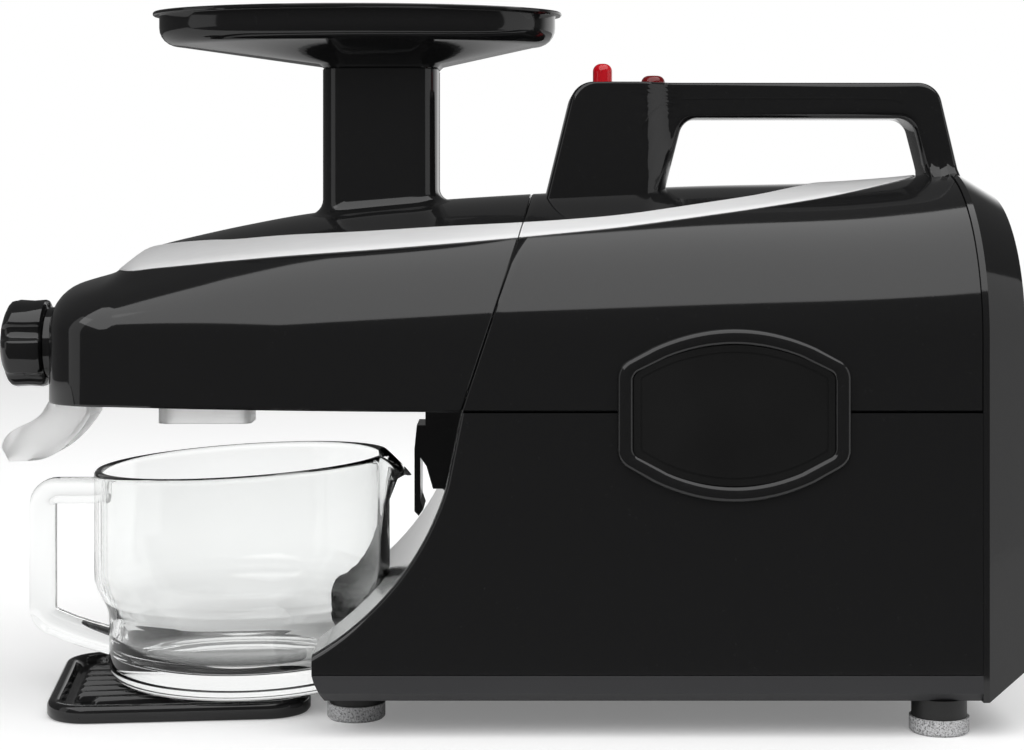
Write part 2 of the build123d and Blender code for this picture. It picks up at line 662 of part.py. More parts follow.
with BuildPart() as foot_screws:
    with BuildSketch(Plane.XY.offset(PAD_HEIGHT - 4.5)):
        with Locations(*FEET):
            Circle(FOOT_SCREW_RADIUS)
    extrude(amount=BASE_BOTTOM_Z - PAD_HEIGHT + 4.5)
    with BuildSketch(Plane.XY.offset(PAD_HEIGHT - 4.5)):
        with Locations(*FEET):
            Circle(SCREW_HEAD_RADIUS)
    extrude(amount=-1.8)
finish(foot_screws.part, "foot_screws")

# ---------------------------------------------------------------- switch and inlet on the rear cover
COVER_OUTSIDE = Plane.YZ.offset(REAR_FACE_X)
ROCKER_PIVOT_X = REAR_FACE_X - 1.5
FRAME_BAND = 2.5

with BuildPart() as switch_frame:
    with BuildSketch(COVER_OUTSIDE):
        with Locations((SWITCH_Y, SWITCH_Z)):
            Rectangle(SWITCH_SIZE[0] + 2 * FRAME_BAND, SWITCH_SIZE[1] + 2 * FRAME_BAND)
    extrude(amount=1.5)
    with BuildSketch(COVER_OUTSIDE):
        with Locations((SWITCH_Y, SWITCH_Z)):
            Rectangle(SWITCH_SIZE[0] - 2 * SEAT, SWITCH_SIZE[1] - 2 * SEAT)
    extrude(amount=-16.0)
    with BuildSketch(COVER_OUTSIDE.offset(1.5)):
        with Locations((SWITCH_Y, SWITCH_Z)):
            Rectangle(SWITCH_SIZE[0] - 2 * FRAME_BAND, SWITCH_SIZE[1] - 2 * FRAME_BAND)
    extrude(amount=-14.0, mode=Mode.SUBTRACT)
finish(switch_frame.part, "switch_frame")

with BuildPart() as power_rocker:
    with BuildSketch(Plane.XZ.offset(-SWITCH_Y - (SWITCH_SIZE[0] / 2 - FRAME_BAND - GAP))):
        with BuildLine():
            low_z, high_z = SWITCH_Z - 10.6, SWITCH_Z + 10.6
            Polyline((ROCKER_PIVOT_X - 4, low_z + 3), (ROCKER_PIVOT_X + 3.4, low_z), (ROCKER_PIVOT_X + 1.6, SWITCH_Z),
                     (ROCKER_PIVOT_X + 3.4, high_z), (ROCKER_PIVOT_X - 4, high_z - 3), close=True)
        make_face()
    extrude(amount=SWITCH_SIZE[0] - 2 * (FRAME_BAND + GAP))
finish(power_rocker.part, "power_rocker")

with BuildPart() as inlet_socket:
    with BuildSketch(COVER_OUTSIDE):
        with Locations((INLET_Y, INLET_Z)):
            RectangleRounded(INLET_SIZE[0] + 4, INLET_SIZE[1] + 4, 2.0)
    extrude(amount=1.2)
    with BuildSketch(COVER_OUTSIDE):
        with Locations((INLET_Y, INLET_Z)):
            Rectangle(INLET_SIZE[0] - 2 * SEAT, INLET_SIZE[1] - 2 * SEAT)
    extrude(amount=-20.0)
    with BuildSketch(COVER_OUTSIDE.offset(1.2)):
        with Locations((INLET_Y, INLET_Z)):
            RectangleRounded(24.0, 16.0, 3.0)
    extrude(amount=-17.0, mode=Mode.SUBTRACT)
finish(inlet_socket.part, "inlet_socket")

with BuildPart() as inlet_pins:
    with BuildSketch(COVER_OUTSIDE.offset(-15.8)):
        with Locations((INLET_Y - 7, INLET_Z - 2), (INLET_Y, INLET_Z + 3), (INLET_Y + 7, INLET_Z - 2)):
            Rectangle(2.0, 4.0)
    extrude(amount=11.0)
finish(inlet_pins.part, "inlet_pins")

# ---------------------------------------------------------------- strainer hook under the joint
HOOK_X = -38.6
HOOK_BOTTOM_Z = 84.9

with BuildPart() as strainer_hook:
    with BuildSketch(Plane.XZ):
        with BuildLine():
            Polyline((-33.5, MID_SEAM_Z - 1), (-33.5, 127.0), (-37.5, 127.0), (HOOK_X, 116), (HOOK_X, 87.0),
                     (-36.6, HOOK_BOTTOM_Z), (-34.4, 88.0), (-35.8, 92.0), (-35.8, 112.0), (-33.0, 108.0),
                     (-30.0, 97.5), (-24.0, 97.5), (-10.0, 110.0), (-10.0, MID_SEAM_Z - 1), close=True)
        make_face()
    extrude(amount=14.0, both=True)
    add(side_solid(lower_profile(Plane.XY, 0.0), BODY_HALF_WIDTH), mode=Mode.SUBTRACT)
finish(strainer_hook.part, "strainer_hook")

# ---------------------------------------------------------------- pulp outlet
GEAR_Y = 15.0                # half the spacing of the twin gears
GEAR_RADIUS = 16.6
GEAR_FRONT_X, GEAR_REAR_X = -166.0, -16.0
SCREEN_INNER = 17.3
SCREEN_THICKNESS = 1.0
HOLDER_INNER = SCREEN_INNER + SCREEN_THICKNESS + SEAT
HOLDER_WALL = 2.4
HOLDER_FRONT_X, HOLDER_REAR_X = -172.0, -22.0
JOURNAL_RADIUS = 4.0
COLLAR_FRONT_X = -210.7
KNOB_FRONT_X = -232.0
KNOB_RADIUS = 20.6
STEM_RADIUS = 5.0


def stadium(plane, radius):
    """Two circles on the gear axes and the block between them."""
    with BuildSketch(plane) as shape:
        with Locations((0, AXIS_Z)):
            SlotCenterToCenter(2 * GEAR_Y, 2 * radius)
    return shape.sketch


with BuildPart() as pulp_outlet_casing:
    with BuildSketch(Plane.YZ.offset(COLLAR_FRONT_X)):
        with Locations((0, AXIS_Z)):
            Circle(NOSE_BORE_RADIUS - GAP)
    extrude(amount=NOSE_X + WALL + GAP - COLLAR_FRONT_X)
    with BuildSketch(Plane.YZ.offset(NOSE_X + WALL + GAP)):
        add(stadium(Plane.XY, HOLDER_INNER - 2.0))
    extrude(amount=HOLDER_FRONT_X - GAP - NOSE_X - WALL - GAP)
    with BuildSketch(Plane.YZ.offset(COLLAR_FRONT_X)):
        with Locations((0, AXIS_Z)):
            Circle(STEM_RADIUS + RUN)
    extrude(amount=REACH / 16, mode=Mode.SUBTRACT)
    with BuildSketch(Plane.YZ.offset(HOLDER_FRONT_X - GAP - 18.0)):
        add(stadium(Plane.XY, 12.0))
    extrude(amount=REACH / 16, mode=Mode.SUBTRACT)
    add(floor_port((PULP_PORT[0] + 8, PULP_PORT[1] - 12, PULP_PORT[2] - 8), 0, AXIS_Z), mode=Mode.SUBTRACT)
finish(pulp_outlet_casing.part, "pulp_outlet_casing")

KNOB_LOBES = 6
FLUTE_RADIUS = 6.2

with BuildPart() as outlet_knob:
    with BuildSketch(Plane.XZ):
        with BuildLine():
            crown = Bezier((KNOB_FRONT_X, AXIS_Z), (KNOB_FRONT_X, AXIS_Z + 12), (KNOB_FRONT_X + 1, AXIS_Z + KNOB_RADIUS),
                           (KNOB_FRONT_X + 6, AXIS_Z + KNOB_RADIUS))
            Polyline(crown @ 1, (COLLAR_FRONT_X - 1.0, AXIS_Z + KNOB_RADIUS - 3.4),
                     (COLLAR_FRONT_X - GAP, AXIS_Z + KNOB_RADIUS - 4.4), (COLLAR_FRONT_X - GAP, AXIS_Z), crown @ 0)
        make_face()
    revolve(axis=Axis((0, 0, AXIS_Z), (1, 0, 0)))
    with BuildSketch(Plane.YZ.offset(KNOB_FRONT_X)):
        with Locations((0, AXIS_Z)):
            with PolarLocations(KNOB_RADIUS + 2.6, KNOB_LOBES, start_angle=30):
                Circle(FLUTE_RADIUS)
    extrude(amount=COLLAR_FRONT_X - KNOB_FRONT_X, mode=Mode.SUBTRACT)
    with BuildSketch(Plane.YZ.offset(COLLAR_FRONT_X - 2 * WALL)):
        with Locations((0, AXIS_Z)):
            Circle(STEM_RADIUS)
    extrude(amount=HOLDER_FRONT_X - 25.0 - COLLAR_FRONT_X + 2 * WALL)
finish(outlet_knob.part, "outlet_knob")

CHUTE_LIP = [(-211, 133), (-216.2, 129), (-225.3, 124.2), (-229.2, 119.4), (-229.7, 116.4), (-226.4, 110.3),
             (-219.2, 110.5), (-210.2, 111.6), (-198.8, 118.8), (-193.4, 124.8), (-188.9, 131.4)]
SPOUT_HALF_WIDTH = 15.0
SPOUT_WALL = 2.0

with BuildPart() as pulp_chute:
    with BuildSketch(Plane.XZ):
        with BuildLine():
            Spline(*CHUTE_LIP[:5])
            Polyline(CHUTE_LIP[4], CHUTE_LIP[5])
            Spline(*CHUTE_LIP[5:])
            Polyline(CHUTE_LIP[-1], (-188.9, MID_SEAM_Z + 2 * WALL), (-207.0, MID_SEAM_Z + 2 * WALL), (-207.0, MID_SEAM_Z),
                     CHUTE_LIP[0])
        make_face()
    extrude(amount=SPOUT_HALF_WIDTH, both=True)
    with BuildSketch(Plane.XZ):
        with BuildLine():
            Polyline((-186.9 - 2 * SPOUT_WALL, MID_SEAM_Z + 3 * WALL), (-205.0, MID_SEAM_Z + 3 * WALL),
                     (-205.0, 135.0), (-222.0, 125.0), (-226.4, 118.0), (-228.0, 100.0), (-218.0, 100.0),
                     (-218.0, 110.8), (-209.6, 113.6), (-199.8, 120.6), (-190.9, 132.2), close=True)
        make_face()
    extrude(amount=SPOUT_HALF_WIDTH - SPOUT_WALL, both=True, mode=Mode.SUBTRACT)
finish(pulp_chute.part, "pulp_chute")

# ---------------------------------------------------------------- screen holder, screen and twin gears
JUICE_SPOUT_Z = 127.5

with BuildPart() as screen_holder:
    with BuildSketch(Plane.YZ.offset(HOLDER_FRONT_X)):
        add(stadium(Plane.XY, HOLDER_INNER + HOLDER_WALL))
    extrude(amount=HOLDER_REAR_X - HOLDER_FRONT_X)
    add(floor_port((JUICE_PORT[0], JUICE_PORT[1] - 2 * GAP, JUICE_PORT[2] - 2 * GAP), JUICE_SPOUT_Z, AXIS_Z - 10))
    with BuildSketch(Plane.YZ.offset(HOLDER_FRONT_X)):
        add(stadium(Plane.XY, HOLDER_INNER))
    extrude(amount=HOLDER_REAR_X - HOLDER_FRONT_X, mode=Mode.SUBTRACT)
    add(floor_port((JUICE_PORT[0], JUICE_PORT[1] - 5, JUICE_PORT[2] - 5), 0, AXIS_Z), mode=Mode.SUBTRACT)
    with BuildSketch(Plane.XY.offset(AXIS_Z)):
        with Locations((CHUTE_X, 0)):
            RectangleRounded(CHUTE_SIZE[0] - 2 * WALL, CHUTE_SIZE[1] - 2 * WALL, CHUTE_RADIUS - WALL)
    extrude(amount=REACH / 8, mode=Mode.SUBTRACT)
finish(screen_holder.part, "screen_holder")

SCREEN_REAR_X = -90.0
SCREEN_SLOTS = 14

with BuildPart() as juice_screen:
    with BuildSketch(Plane.YZ.offset(HOLDER_FRONT_X + 1.0)):
        add(stadium(Plane.XY, SCREEN_INNER + SCREEN_THICKNESS))
        add(stadium(Plane.XY, SCREEN_INNER), mode=Mode.SUBTRACT)
    extrude(amount=SCREEN_REAR_X - HOLDER_FRONT_X - 1.0)
    slot_pitch = (JUICE_PORT[1] + 20.0) / SCREEN_SLOTS
    with BuildSketch(Plane.XY):
        with Locations((JUICE_PORT[0], 0)):
            with GridLocations(slot_pitch, 0, SCREEN_SLOTS, 1):
                Rectangle(1.4, 4 * GEAR_Y)
    extrude(amount=AXIS_Z - 9.0, mode=Mode.SUBTRACT)
finish(juice_screen.part, "juice_screen")

TWIN_TEETH = 7
TWIN_DEPTH = 5.6             # how far the twin gears' teeth reach into each other
TWIN_TWIST = 150.0           # turn of the teeth over the gear's length
DRIVE_HEX = 9.0              # across flats of the drive end
SOCKET_DEPTH = 22.0


def twin_gear_section(toward, phase):
    """Rounded teeth of one twin gear, as a closed outline about its own axis."""
    root = 2 * GEAR_Y - GEAR_RADIUS - 0.8
    middle, swing = (GEAR_RADIUS + root) / 2, (GEAR_RADIUS - root) / 2
    points = []
    for step in range(4 * TWIN_TEETH):
        angle = math.radians(phase + 90.0 * step / TWIN_TEETH)
        radius = middle + swing * (1.0, -0.25, -1.0, -0.25)[step % 4]
        points.append((radius * math.cos(angle), radius * math.sin(angle)))
    axis_plane = Plane(origin=(GEAR_FRONT_X, toward * GEAR_Y, AXIS_Z), x_dir=(0, 1, 0), z_dir=(1, 0, 0))
    with BuildSketch(axis_plane) as section:
        with BuildLine():
            Spline(*points, periodic=True)
        make_face()
    return section.sketch


def twin_gear(toward, phase):
    """One feed and press gear; toward is +1 or -1, the side of the middle it turns on."""
    axis_point = (GEAR_FRONT_X, toward * GEAR_Y, AXIS_Z)
    length = GEAR_REAR_X - GEAR_FRONT_X
    face = twin_gear_section(toward, phase).faces()[0]
    twisted = Solid.extrude_linear_with_rotation(face, axis_point, (length, 0, 0), toward * TWIN_TWIST)
    with BuildPart() as gear:
        add(twisted)
        with BuildSketch(Plane.YZ.offset(GEAR_FRONT_X - 9.0)):
            with Locations((toward * GEAR_Y, AXIS_Z)):
                Circle(JOURNAL_RADIUS)
        extrude(amount=12.0)
        with BuildSketch(Plane.YZ.offset(GEAR_REAR_X)):
            with Locations((toward * GEAR_Y, AXIS_Z)):
                if toward > 0:
                    RegularPolygon(DRIVE_HEX / 2 + RUN, 6, major_radius=False)
                else:
                    Circle(JOURNAL_RADIUS + RUN)
        extrude(amount=-SOCKET_DEPTH, mode=Mode.SUBTRACT)
    return gear.part


finish(twin_gear(1, 180.0), "twin_gear_right")
finish(twin_gear(-1, 180.0 / TWIN_TEETH), "twin_gear_left")

with BuildPart() as gear_bushes:
    with BuildSketch(Plane.YZ.offset(HOLDER_FRONT_X + 1.5)):
        with Locations((-GEAR_Y, AXIS_Z), (GEAR_Y, AXIS_Z)):
            Circle(JOURNAL_RADIUS + 3.0)
            Circle(JOURNAL_RADIUS + RUN, mode=Mode.SUBTRACT)
    extrude(amount=-1.5 - GAP)
finish(gear_bushes.part, "gear_bushes")

# ---------------------------------------------------------------- glass pitcher
GRIP_OUTER = [(-184, 100.7), (-211, 100.7), (-219.8, 92.0), (-219.8, 54.0), (-213, 43.0), (-176, 18.5)]
GRIP_INNER = [(-181, 32.9), (-204.5, 47.5), (-209.0, 55.0), (-209.0, 86.0), (-206.0, 89.4), (-186, 89.4)]
GRIP_HALF = 6.5
SPOUT_TIP = (-39.9, 101.3)
SPOUT_ROOT_X = PITCHER_X + PITCHER_RADIUS - 4.0


def spout_cone(root_width, root_low, root_high, tip_radius, tip_x, tip_z):
    """Tapering beak from the pitcher's wall to its tip."""
    with BuildPart() as cone:
        with BuildSketch(Plane.YZ.offset(SPOUT_ROOT_X - 3.0)):
            with Locations((0, (root_low + root_high) / 2)):
                Ellipse(root_width, (root_high - root_low) / 2)
        with BuildSketch(Plane.YZ.offset(tip_x)):
            with Locations((0, tip_z)):
                Ellipse(tip_radius, tip_radius)
        loft()
    return cone.part


def pitcher_inside():
    """Space inside the pitcher."""
    low, high = PITCHER_SHOULDER_Z
    full, band = PITCHER_RADIUS - PITCHER_WALL, PITCHER_BAND_RADIUS - PITCHER_WALL
    with BuildPart() as inside:
        with BuildSketch(Plane.XZ):
            with BuildLine():
                foot = RadiusArc((PITCHER_X + band - 9, PITCHER_FOOT_Z + 6.5), (PITCHER_X + band, PITCHER_FOOT_Z + 15.5), -9.0)
                Polyline(foot @ 1, (PITCHER_X + band, low + 1), (PITCHER_X + full, high + 1),
                         (PITCHER_X + full, PITCHER_RIM_Z + 5), (PITCHER_X, PITCHER_RIM_Z + 5),
                         (PITCHER_X, PITCHER_FOOT_Z + 6.5), foot @ 0)
            make_face()
        revolve(axis=Axis((PITCHER_X, 0, 0), (0, 0, 1)))
    return inside.part


def pitcher_grip():
    """Handle of the pitcher, its outline rounded at the bends."""
    with BuildPart() as grip:
        with BuildSketch(Plane.XZ):
            Polygon(*GRIP_OUTER, *GRIP_INNER, align=None)
        extrude(amount=GRIP_HALF, both=True)
        bends = grip.edges().filter_by(Axis.Y).filter_by_position(Axis.X, -230, -200)
        fillet(bends, radius=4.0)
        sides = grip.faces().filter_by(Plane.XZ)
        fillet(sides.edges(), radius=3.0)
    return grip.part


with BuildPart() as glass_pitcher:
    low, high = PITCHER_SHOULDER_Z
    with BuildSketch(Plane.XZ):
        with BuildLine():
            foot = RadiusArc((PITCHER_X + PITCHER_BAND_RADIUS - 13, PITCHER_FOOT_Z),
                             (PITCHER_X + PITCHER_BAND_RADIUS, PITCHER_FOOT_Z + 13.0), -13.0)
            Polyline(foot @ 1, (PITCHER_X + PITCHER_BAND_RADIUS, low), (PITCHER_X + PITCHER_RADIUS, high),
                     (PITCHER_X + PITCHER_RADIUS, PITCHER_RIM_Z), (PITCHER_X, PITCHER_RIM_Z),
                     (PITCHER_X, PITCHER_FOOT_Z), foot @ 0)
        make_face()
    revolve(axis=Axis((PITCHER_X, 0, 0), (0, 0, 1)))
    add(spout_cone(11.0, 93.0, PITCHER_RIM_Z + 1, 2.4, *SPOUT_TIP))
    add(pitcher_grip())
    add(pitcher_inside(), mode=Mode.SUBTRACT)
    add(spout_cone(8.0, 97.0, PITCHER_RIM_Z + 9, 1.2, SPOUT_TIP[0] + 1.0, SPOUT_TIP[1] + 1.8), mode=Mode.SUBTRACT)
    add(slab(-REACH, REACH, REACH, PITCHER_RIM_Z, REACH), mode=Mode.SUBTRACT)
finish(glass_pitcher.part, "glass_pitcher")

# ---------------------------------------------------------------- drip tray
DRIP_X = (-203.0, -78.0)
DRIP_HALF_WIDTH = 58.0
DRIP_HEIGHT = 8.0
DRIP_RADIUS = 20.0
DRIP_FLOOR = 2.2
DRIP_RIBS = 7

with BuildPart() as drip_tray:
    centre, length = (DRIP_X[0] + DRIP_X[1]) / 2, DRIP_X[1] - DRIP_X[0]
    with BuildSketch(Plane.XY.offset(GAP)):
        with Locations((centre, 0)):
            RectangleRounded(length, 2 * DRIP_HALF_WIDTH, DRIP_RADIUS)
    extrude(amount=DRIP_HEIGHT - GAP)
    chamfer(drip_tray.edges().group_by(Axis.Z)[-1], length=1.2)
    chamfer(drip_tray.edges().group_by(Axis.Z)[0], length=3.0)
    with BuildSketch(Plane.XY.offset(GAP + DRIP_FLOOR)):
        with Locations((centre, 0)):
            RectangleRounded(length - 12, 2 * DRIP_HALF_WIDTH - 12, DRIP_RADIUS - 6)
    extrude(amount=DRIP_HEIGHT, mode=Mode.SUBTRACT)
    with BuildSketch(Plane.XY.offset(GAP + DRIP_FLOOR)):
        with Locations((centre, 0)):
            with GridLocations(15.0, 0, DRIP_RIBS, 1):
                SlotOverall(80.0, 2.4, rotation=90)
    extrude(amount=DRIP_HEIGHT - GAP - DRIP_FLOOR)
finish(drip_tray.part, "drip_tray")

# ---------------------------------------------------------------- drive train
MODULE = 1.0
MOTOR_Z = 92.0
PINION_TEETH, FIRST_TEETH = 12, 60
SECOND_TEETH, OUTPUT_TEETH = 16, 64
OUTPUT_Y = GEAR_Y
FIRST_STAGE = MODULE * (PINION_TEETH + FIRST_TEETH) / 2
SECOND_STAGE = MODULE * (SECOND_TEETH + OUTPUT_TEETH) / 2
SHAFT_RADIUS = 5.0
OUTPUT_RADIUS = 5.6
BUSH_WALL = 2.2
TOOTH_FILL = 0.80            # share of the pitch left to the tooth, for backlash

CASE_FRONT_X = 22.0          # gearbox cover, front of the gear space
OUTPUT_GEAR_X = (28.0, 38.0)
SECOND_GEAR_X = (27.0, 39.0)
FIRST_GEAR_X = (42.0, 50.0)
PINION_X = (41.0, 52.0)
CASE_REAR_X = 56.0
PLATE = 4.0                  # thickness of the gearbox's two end plates


def stage_corner():
    """Axis of the intermediate shaft, at the two centre distances from motor and output."""
    gap_y, gap_z = OUTPUT_Y, AXIS_Z - MOTOR_Z
    span = math.hypot(gap_y, gap_z)
    along = (FIRST_STAGE ** 2 - SECOND_STAGE ** 2 + span ** 2) / (2 * span)
    aside = math.sqrt(FIRST_STAGE ** 2 - along ** 2)
    return (along * gap_y + aside * -gap_z) / span, MOTOR_Z + (along * gap_z + aside * gap_y) / span


IDLER_Y, IDLER_Z = stage_corner()
TO_IDLER = math.degrees(math.atan2(IDLER_Z - MOTOR_Z, IDLER_Y))
TO_OUTPUT = math.degrees(math.atan2(AXIS_Z - IDLER_Z, OUTPUT_Y - IDLER_Y))


def spur_outline(teeth, phase):
    """Closed outline of a spur gear with a tooth centred on the angle phase, in degrees."""
    pitch = MODULE * teeth / 2
    points = []
    for tooth in range(teeth):
        middle = math.radians(phase + 360.0 * tooth / teeth)
        half = math.pi / teeth / 2 * TOOTH_FILL
        for radius, share in ((pitch - 1.2 * MODULE, -1.7), (pitch + 0.9 * MODULE, -0.5),
                              (pitch + 0.9 * MODULE, 0.5), (pitch - 1.2 * MODULE, 1.7)):
            angle = middle + share * half
            points.append((radius * math.cos(angle), radius * math.sin(angle)))
    return points


def gear_plane(x, y, z):
    return Plane(origin=(x, y, z), x_dir=(0, 1, 0), z_dir=(1, 0, 0))


def spur_gear(x_span, y, z, teeth, phase, bore):
    with BuildPart() as gear:
        with BuildSketch(gear_plane(x_span[0], y, z)):
            Polygon(*spur_outline(teeth, phase), align=None)
            Circle(bore, mode=Mode.SUBTRACT)
        extrude(amount=x_span[1] - x_span[0])
    return gear.part


finish(spur_gear(PINION_X, 0, MOTOR_Z, PINION_TEETH, TO_IDLER, SHAFT_RADIUS - 1.5), "motor_pinion")
finish(spur_gear(FIRST_GEAR_X, IDLER_Y, IDLER_Z, FIRST_TEETH, TO_IDLER + 180 + 180 / FIRST_TEETH, SHAFT_RADIUS),
       "first_gear")
finish(spur_gear(OUTPUT_GEAR_X, OUTPUT_Y, AXIS_Z, OUTPUT_TEETH, TO_OUTPUT + 180 + 180 / OUTPUT_TEETH,
                 OUTPUT_RADIUS), "output_gear")

with BuildPart() as idler_shaft:
    with BuildSketch(gear_plane(CASE_FRONT_X - PLATE, IDLER_Y, IDLER_Z)):
        Circle(SHAFT_RADIUS)
    extrude(amount=CASE_REAR_X + PLATE - CASE_FRONT_X + PLATE)
    with BuildSketch(gear_plane(SECOND_GEAR_X[0], IDLER_Y, IDLER_Z)):
        Polygon(*spur_outline(SECOND_TEETH, TO_OUTPUT), align=None)
    extrude(amount=SECOND_GEAR_X[1] - SECOND_GEAR_X[0])
finish(idler_shaft.part, "idler_shaft")

HEX_FRONT_X = GEAR_REAR_X - SOCKET_DEPTH + 2.0
NOSE_FRONT_X = GEAR_REAR_X + 3.0

with BuildPart() as output_shaft:
    with BuildSketch(gear_plane(HEX_FRONT_X, OUTPUT_Y, AXIS_Z)):
        RegularPolygon(DRIVE_HEX / 2, 6, major_radius=False)
    extrude(amount=GEAR_REAR_X + 2.0 - HEX_FRONT_X)
    with BuildSketch(gear_plane(GEAR_REAR_X + 2.0, OUTPUT_Y, AXIS_Z)):
        Circle(OUTPUT_RADIUS)
    extrude(amount=CASE_REAR_X + PLATE - GEAR_REAR_X - 2.0)
finish(output_shaft.part, "output_shaft")

with BuildPart() as idle_pin:
    with BuildSketch(gear_plane(HEX_FRONT_X, -OUTPUT_Y, AXIS_Z)):
        Circle(JOURNAL_RADIUS)
    extrude(amount=CASE_FRONT_X - HEX_FRONT_X)
finish(idle_pin.part, "idle_pin")

CASE_Y = (-52.0, 52.0)
CASE_Z = (66.0, 202.0)
NOSE_RADIUS_DRIVE = DRIVE_PORT_RADIUS - GAP


def case_outline(plane, grow):
    with BuildSketch(plane) as outline:
        with Locations((0, (CASE_Z[0] + CASE_Z[1]) / 2)):
            RectangleRounded(CASE_Y[1] - CASE_Y[0] + 2 * grow, CASE_Z[1] - CASE_Z[0] + 2 * grow, 12.0)
    return outline.sketch


def shaft_holes(x_low, length, output, idler, motor):
    """Three bores on the gearbox's shaft axes; a radius of zero leaves one out."""
    with BuildPart() as holes:
        with BuildSketch(Plane.YZ.offset(x_low)):
            for y, z, radius in ((OUTPUT_Y, AXIS_Z, output), (IDLER_Y, IDLER_Z, idler), (0, MOTOR_Z, motor)):
                if radius:
                    with Locations((y, z)):
                        Circle(radius)
        extrude(amount=length)
    return holes.part


with BuildPart() as gearbox_cover:
    with BuildSketch(Plane.YZ.offset(CASE_FRONT_X - PLATE)):
        add(case_outline(Plane.XY, 0.0))
    extrude(amount=PLATE)
    with BuildSketch(Plane.YZ.offset(NOSE_FRONT_X)):
        with Locations((0, AXIS_Z)):
            Circle(NOSE_RADIUS_DRIVE)
    extrude(amount=CASE_FRONT_X - NOSE_FRONT_X)
    add(shaft_holes(NOSE_FRONT_X, CASE_FRONT_X - NOSE_FRONT_X, OUTPUT_RADIUS + BUSH_WALL,
                    SHAFT_RADIUS + BUSH_WALL, 0), mode=Mode.SUBTRACT)
    with BuildSketch(Plane.YZ.offset(NOSE_FRONT_X)):
        with Locations((-OUTPUT_Y, AXIS_Z)):
            Circle(JOURNAL_RADIUS)
    extrude(amount=CASE_FRONT_X - NOSE_FRONT_X, mode=Mode.SUBTRACT)
finish(gearbox_cover.part, "gearbox_cover")

with BuildPart() as gearbox_case:
    with BuildSketch(Plane.YZ.offset(CASE_FRONT_X)):
        add(case_outline(Plane.XY, 0.0))
    extrude(amount=CASE_REAR_X + PLATE - CASE_FRONT_X)
    with BuildSketch(Plane.YZ.offset(CASE_FRONT_X)):
        add(case_outline(Plane.XY, -WALL))
    extrude(amount=CASE_REAR_X - CASE_FRONT_X, mode=Mode.SUBTRACT)
    add(shaft_holes(CASE_REAR_X, PLATE, OUTPUT_RADIUS + BUSH_WALL, SHAFT_RADIUS + BUSH_WALL,
                    SHAFT_RADIUS + BUSH_WALL), mode=Mode.SUBTRACT)
finish(gearbox_case.part, "gearbox_case")


def bush(x_low, length, y, z, bore):
    with BuildPart() as ring:
        with BuildSketch(gear_plane(x_low, y, z)):
            Circle(bore + BUSH_WALL)
            Circle(bore + RUN, mode=Mode.SUBTRACT)
        extrude(amount=length)
    return ring.part


with BuildPart() as gearbox_bearings:
    add(bush(CASE_FRONT_X - PLATE, PLATE, OUTPUT_Y, AXIS_Z, OUTPUT_RADIUS))
    add(bush(CASE_REAR_X, PLATE, OUTPUT_Y, AXIS_Z, OUTPUT_RADIUS))
    add(bush(CASE_FRONT_X - PLATE, PLATE, IDLER_Y, IDLER_Z, SHAFT_RADIUS))
    add(bush(CASE_REAR_X, PLATE, IDLER_Y, IDLER_Z, SHAFT_RADIUS))
    add(bush(CASE_REAR_X, PLATE, 0, MOTOR_Z, SHAFT_RADIUS))
finish(gearbox_bearings.part, "gearbox_bearings")

with BuildPart() as drive_seal:
    add(bush(NOSE_FRONT_X, 6.0, OUTPUT_Y, AXIS_Z, OUTPUT_RADIUS))
finish(drive_seal.part, "drive_seal")

# ---------------------------------------------------------------- motor
STATOR_X = (78.0, 128.0)
STATOR_RADIUS = 44.0
ROTOR_RADIUS = 24.0
BELL_LENGTH = CASE_REAR_X + PLATE
BELL_REAR_X = 146.0
FAN_X = (150.0, 162.0)
FAN_BLADES = 9

with BuildPart() as motor_stator:
    with BuildSketch(gear_plane(STATOR_X[0], 0, MOTOR_Z)):
        Circle(STATOR_RADIUS)
        Circle(ROTOR_RADIUS + 0.6, mode=Mode.SUBTRACT)
    extrude(amount=STATOR_X[1] - STATOR_X[0])
finish(motor_stator.part, "motor_stator")

with BuildPart() as motor_windings:
    for x_low, x_high in ((STATOR_X[0] - 9.0, STATOR_X[0]), (STATOR_X[1], STATOR_X[1] + 9.0)):
        with BuildSketch(gear_plane(x_low, 0, MOTOR_Z)):
            Circle(STATOR_RADIUS - 6)
            Circle(ROTOR_RADIUS + 3, mode=Mode.SUBTRACT)
        extrude(amount=x_high - x_low)
finish(motor_windings.part, "motor_windings")


def end_bell(x_low, x_high, plate_at_low):
    """Cup that closes one end of the motor, with its plate at the low or the high X end."""
    with BuildPart() as bell:
        with BuildSketch(gear_plane(x_low, 0, MOTOR_Z)):
            Circle(STATOR_RADIUS)
            Circle(SHAFT_RADIUS + RUN, mode=Mode.SUBTRACT)
        extrude(amount=x_high - x_low)
        inner_low = x_low + PLATE if plate_at_low else x_low
        with BuildSketch(gear_plane(inner_low, 0, MOTOR_Z)):
            Circle(STATOR_RADIUS - 4)
        extrude(amount=x_high - x_low - PLATE, mode=Mode.SUBTRACT)
    return bell.part


finish(end_bell(CASE_REAR_X + PLATE, STATOR_X[0], True), "motor_front_bell")
finish(end_bell(STATOR_X[1], BELL_REAR_X, False), "motor_rear_bell")

with BuildPart() as motor_rotor:
    with BuildSketch(gear_plane(PINION_X[1] - 11.0, 0, MOTOR_Z)):
        Circle(SHAFT_RADIUS - 1.5)
    extrude(amount=11.0)
    with BuildSketch(gear_plane(PINION_X[1], 0, MOTOR_Z)):
        Circle(SHAFT_RADIUS)
    extrude(amount=FAN_X[1] - PINION_X[1])
    with BuildSketch(gear_plane(STATOR_X[0] + 1, 0, MOTOR_Z)):
        Circle(ROTOR_RADIUS)
    extrude(amount=STATOR_X[1] - STATOR_X[0] - 2)
finish(motor_rotor.part, "motor_rotor")

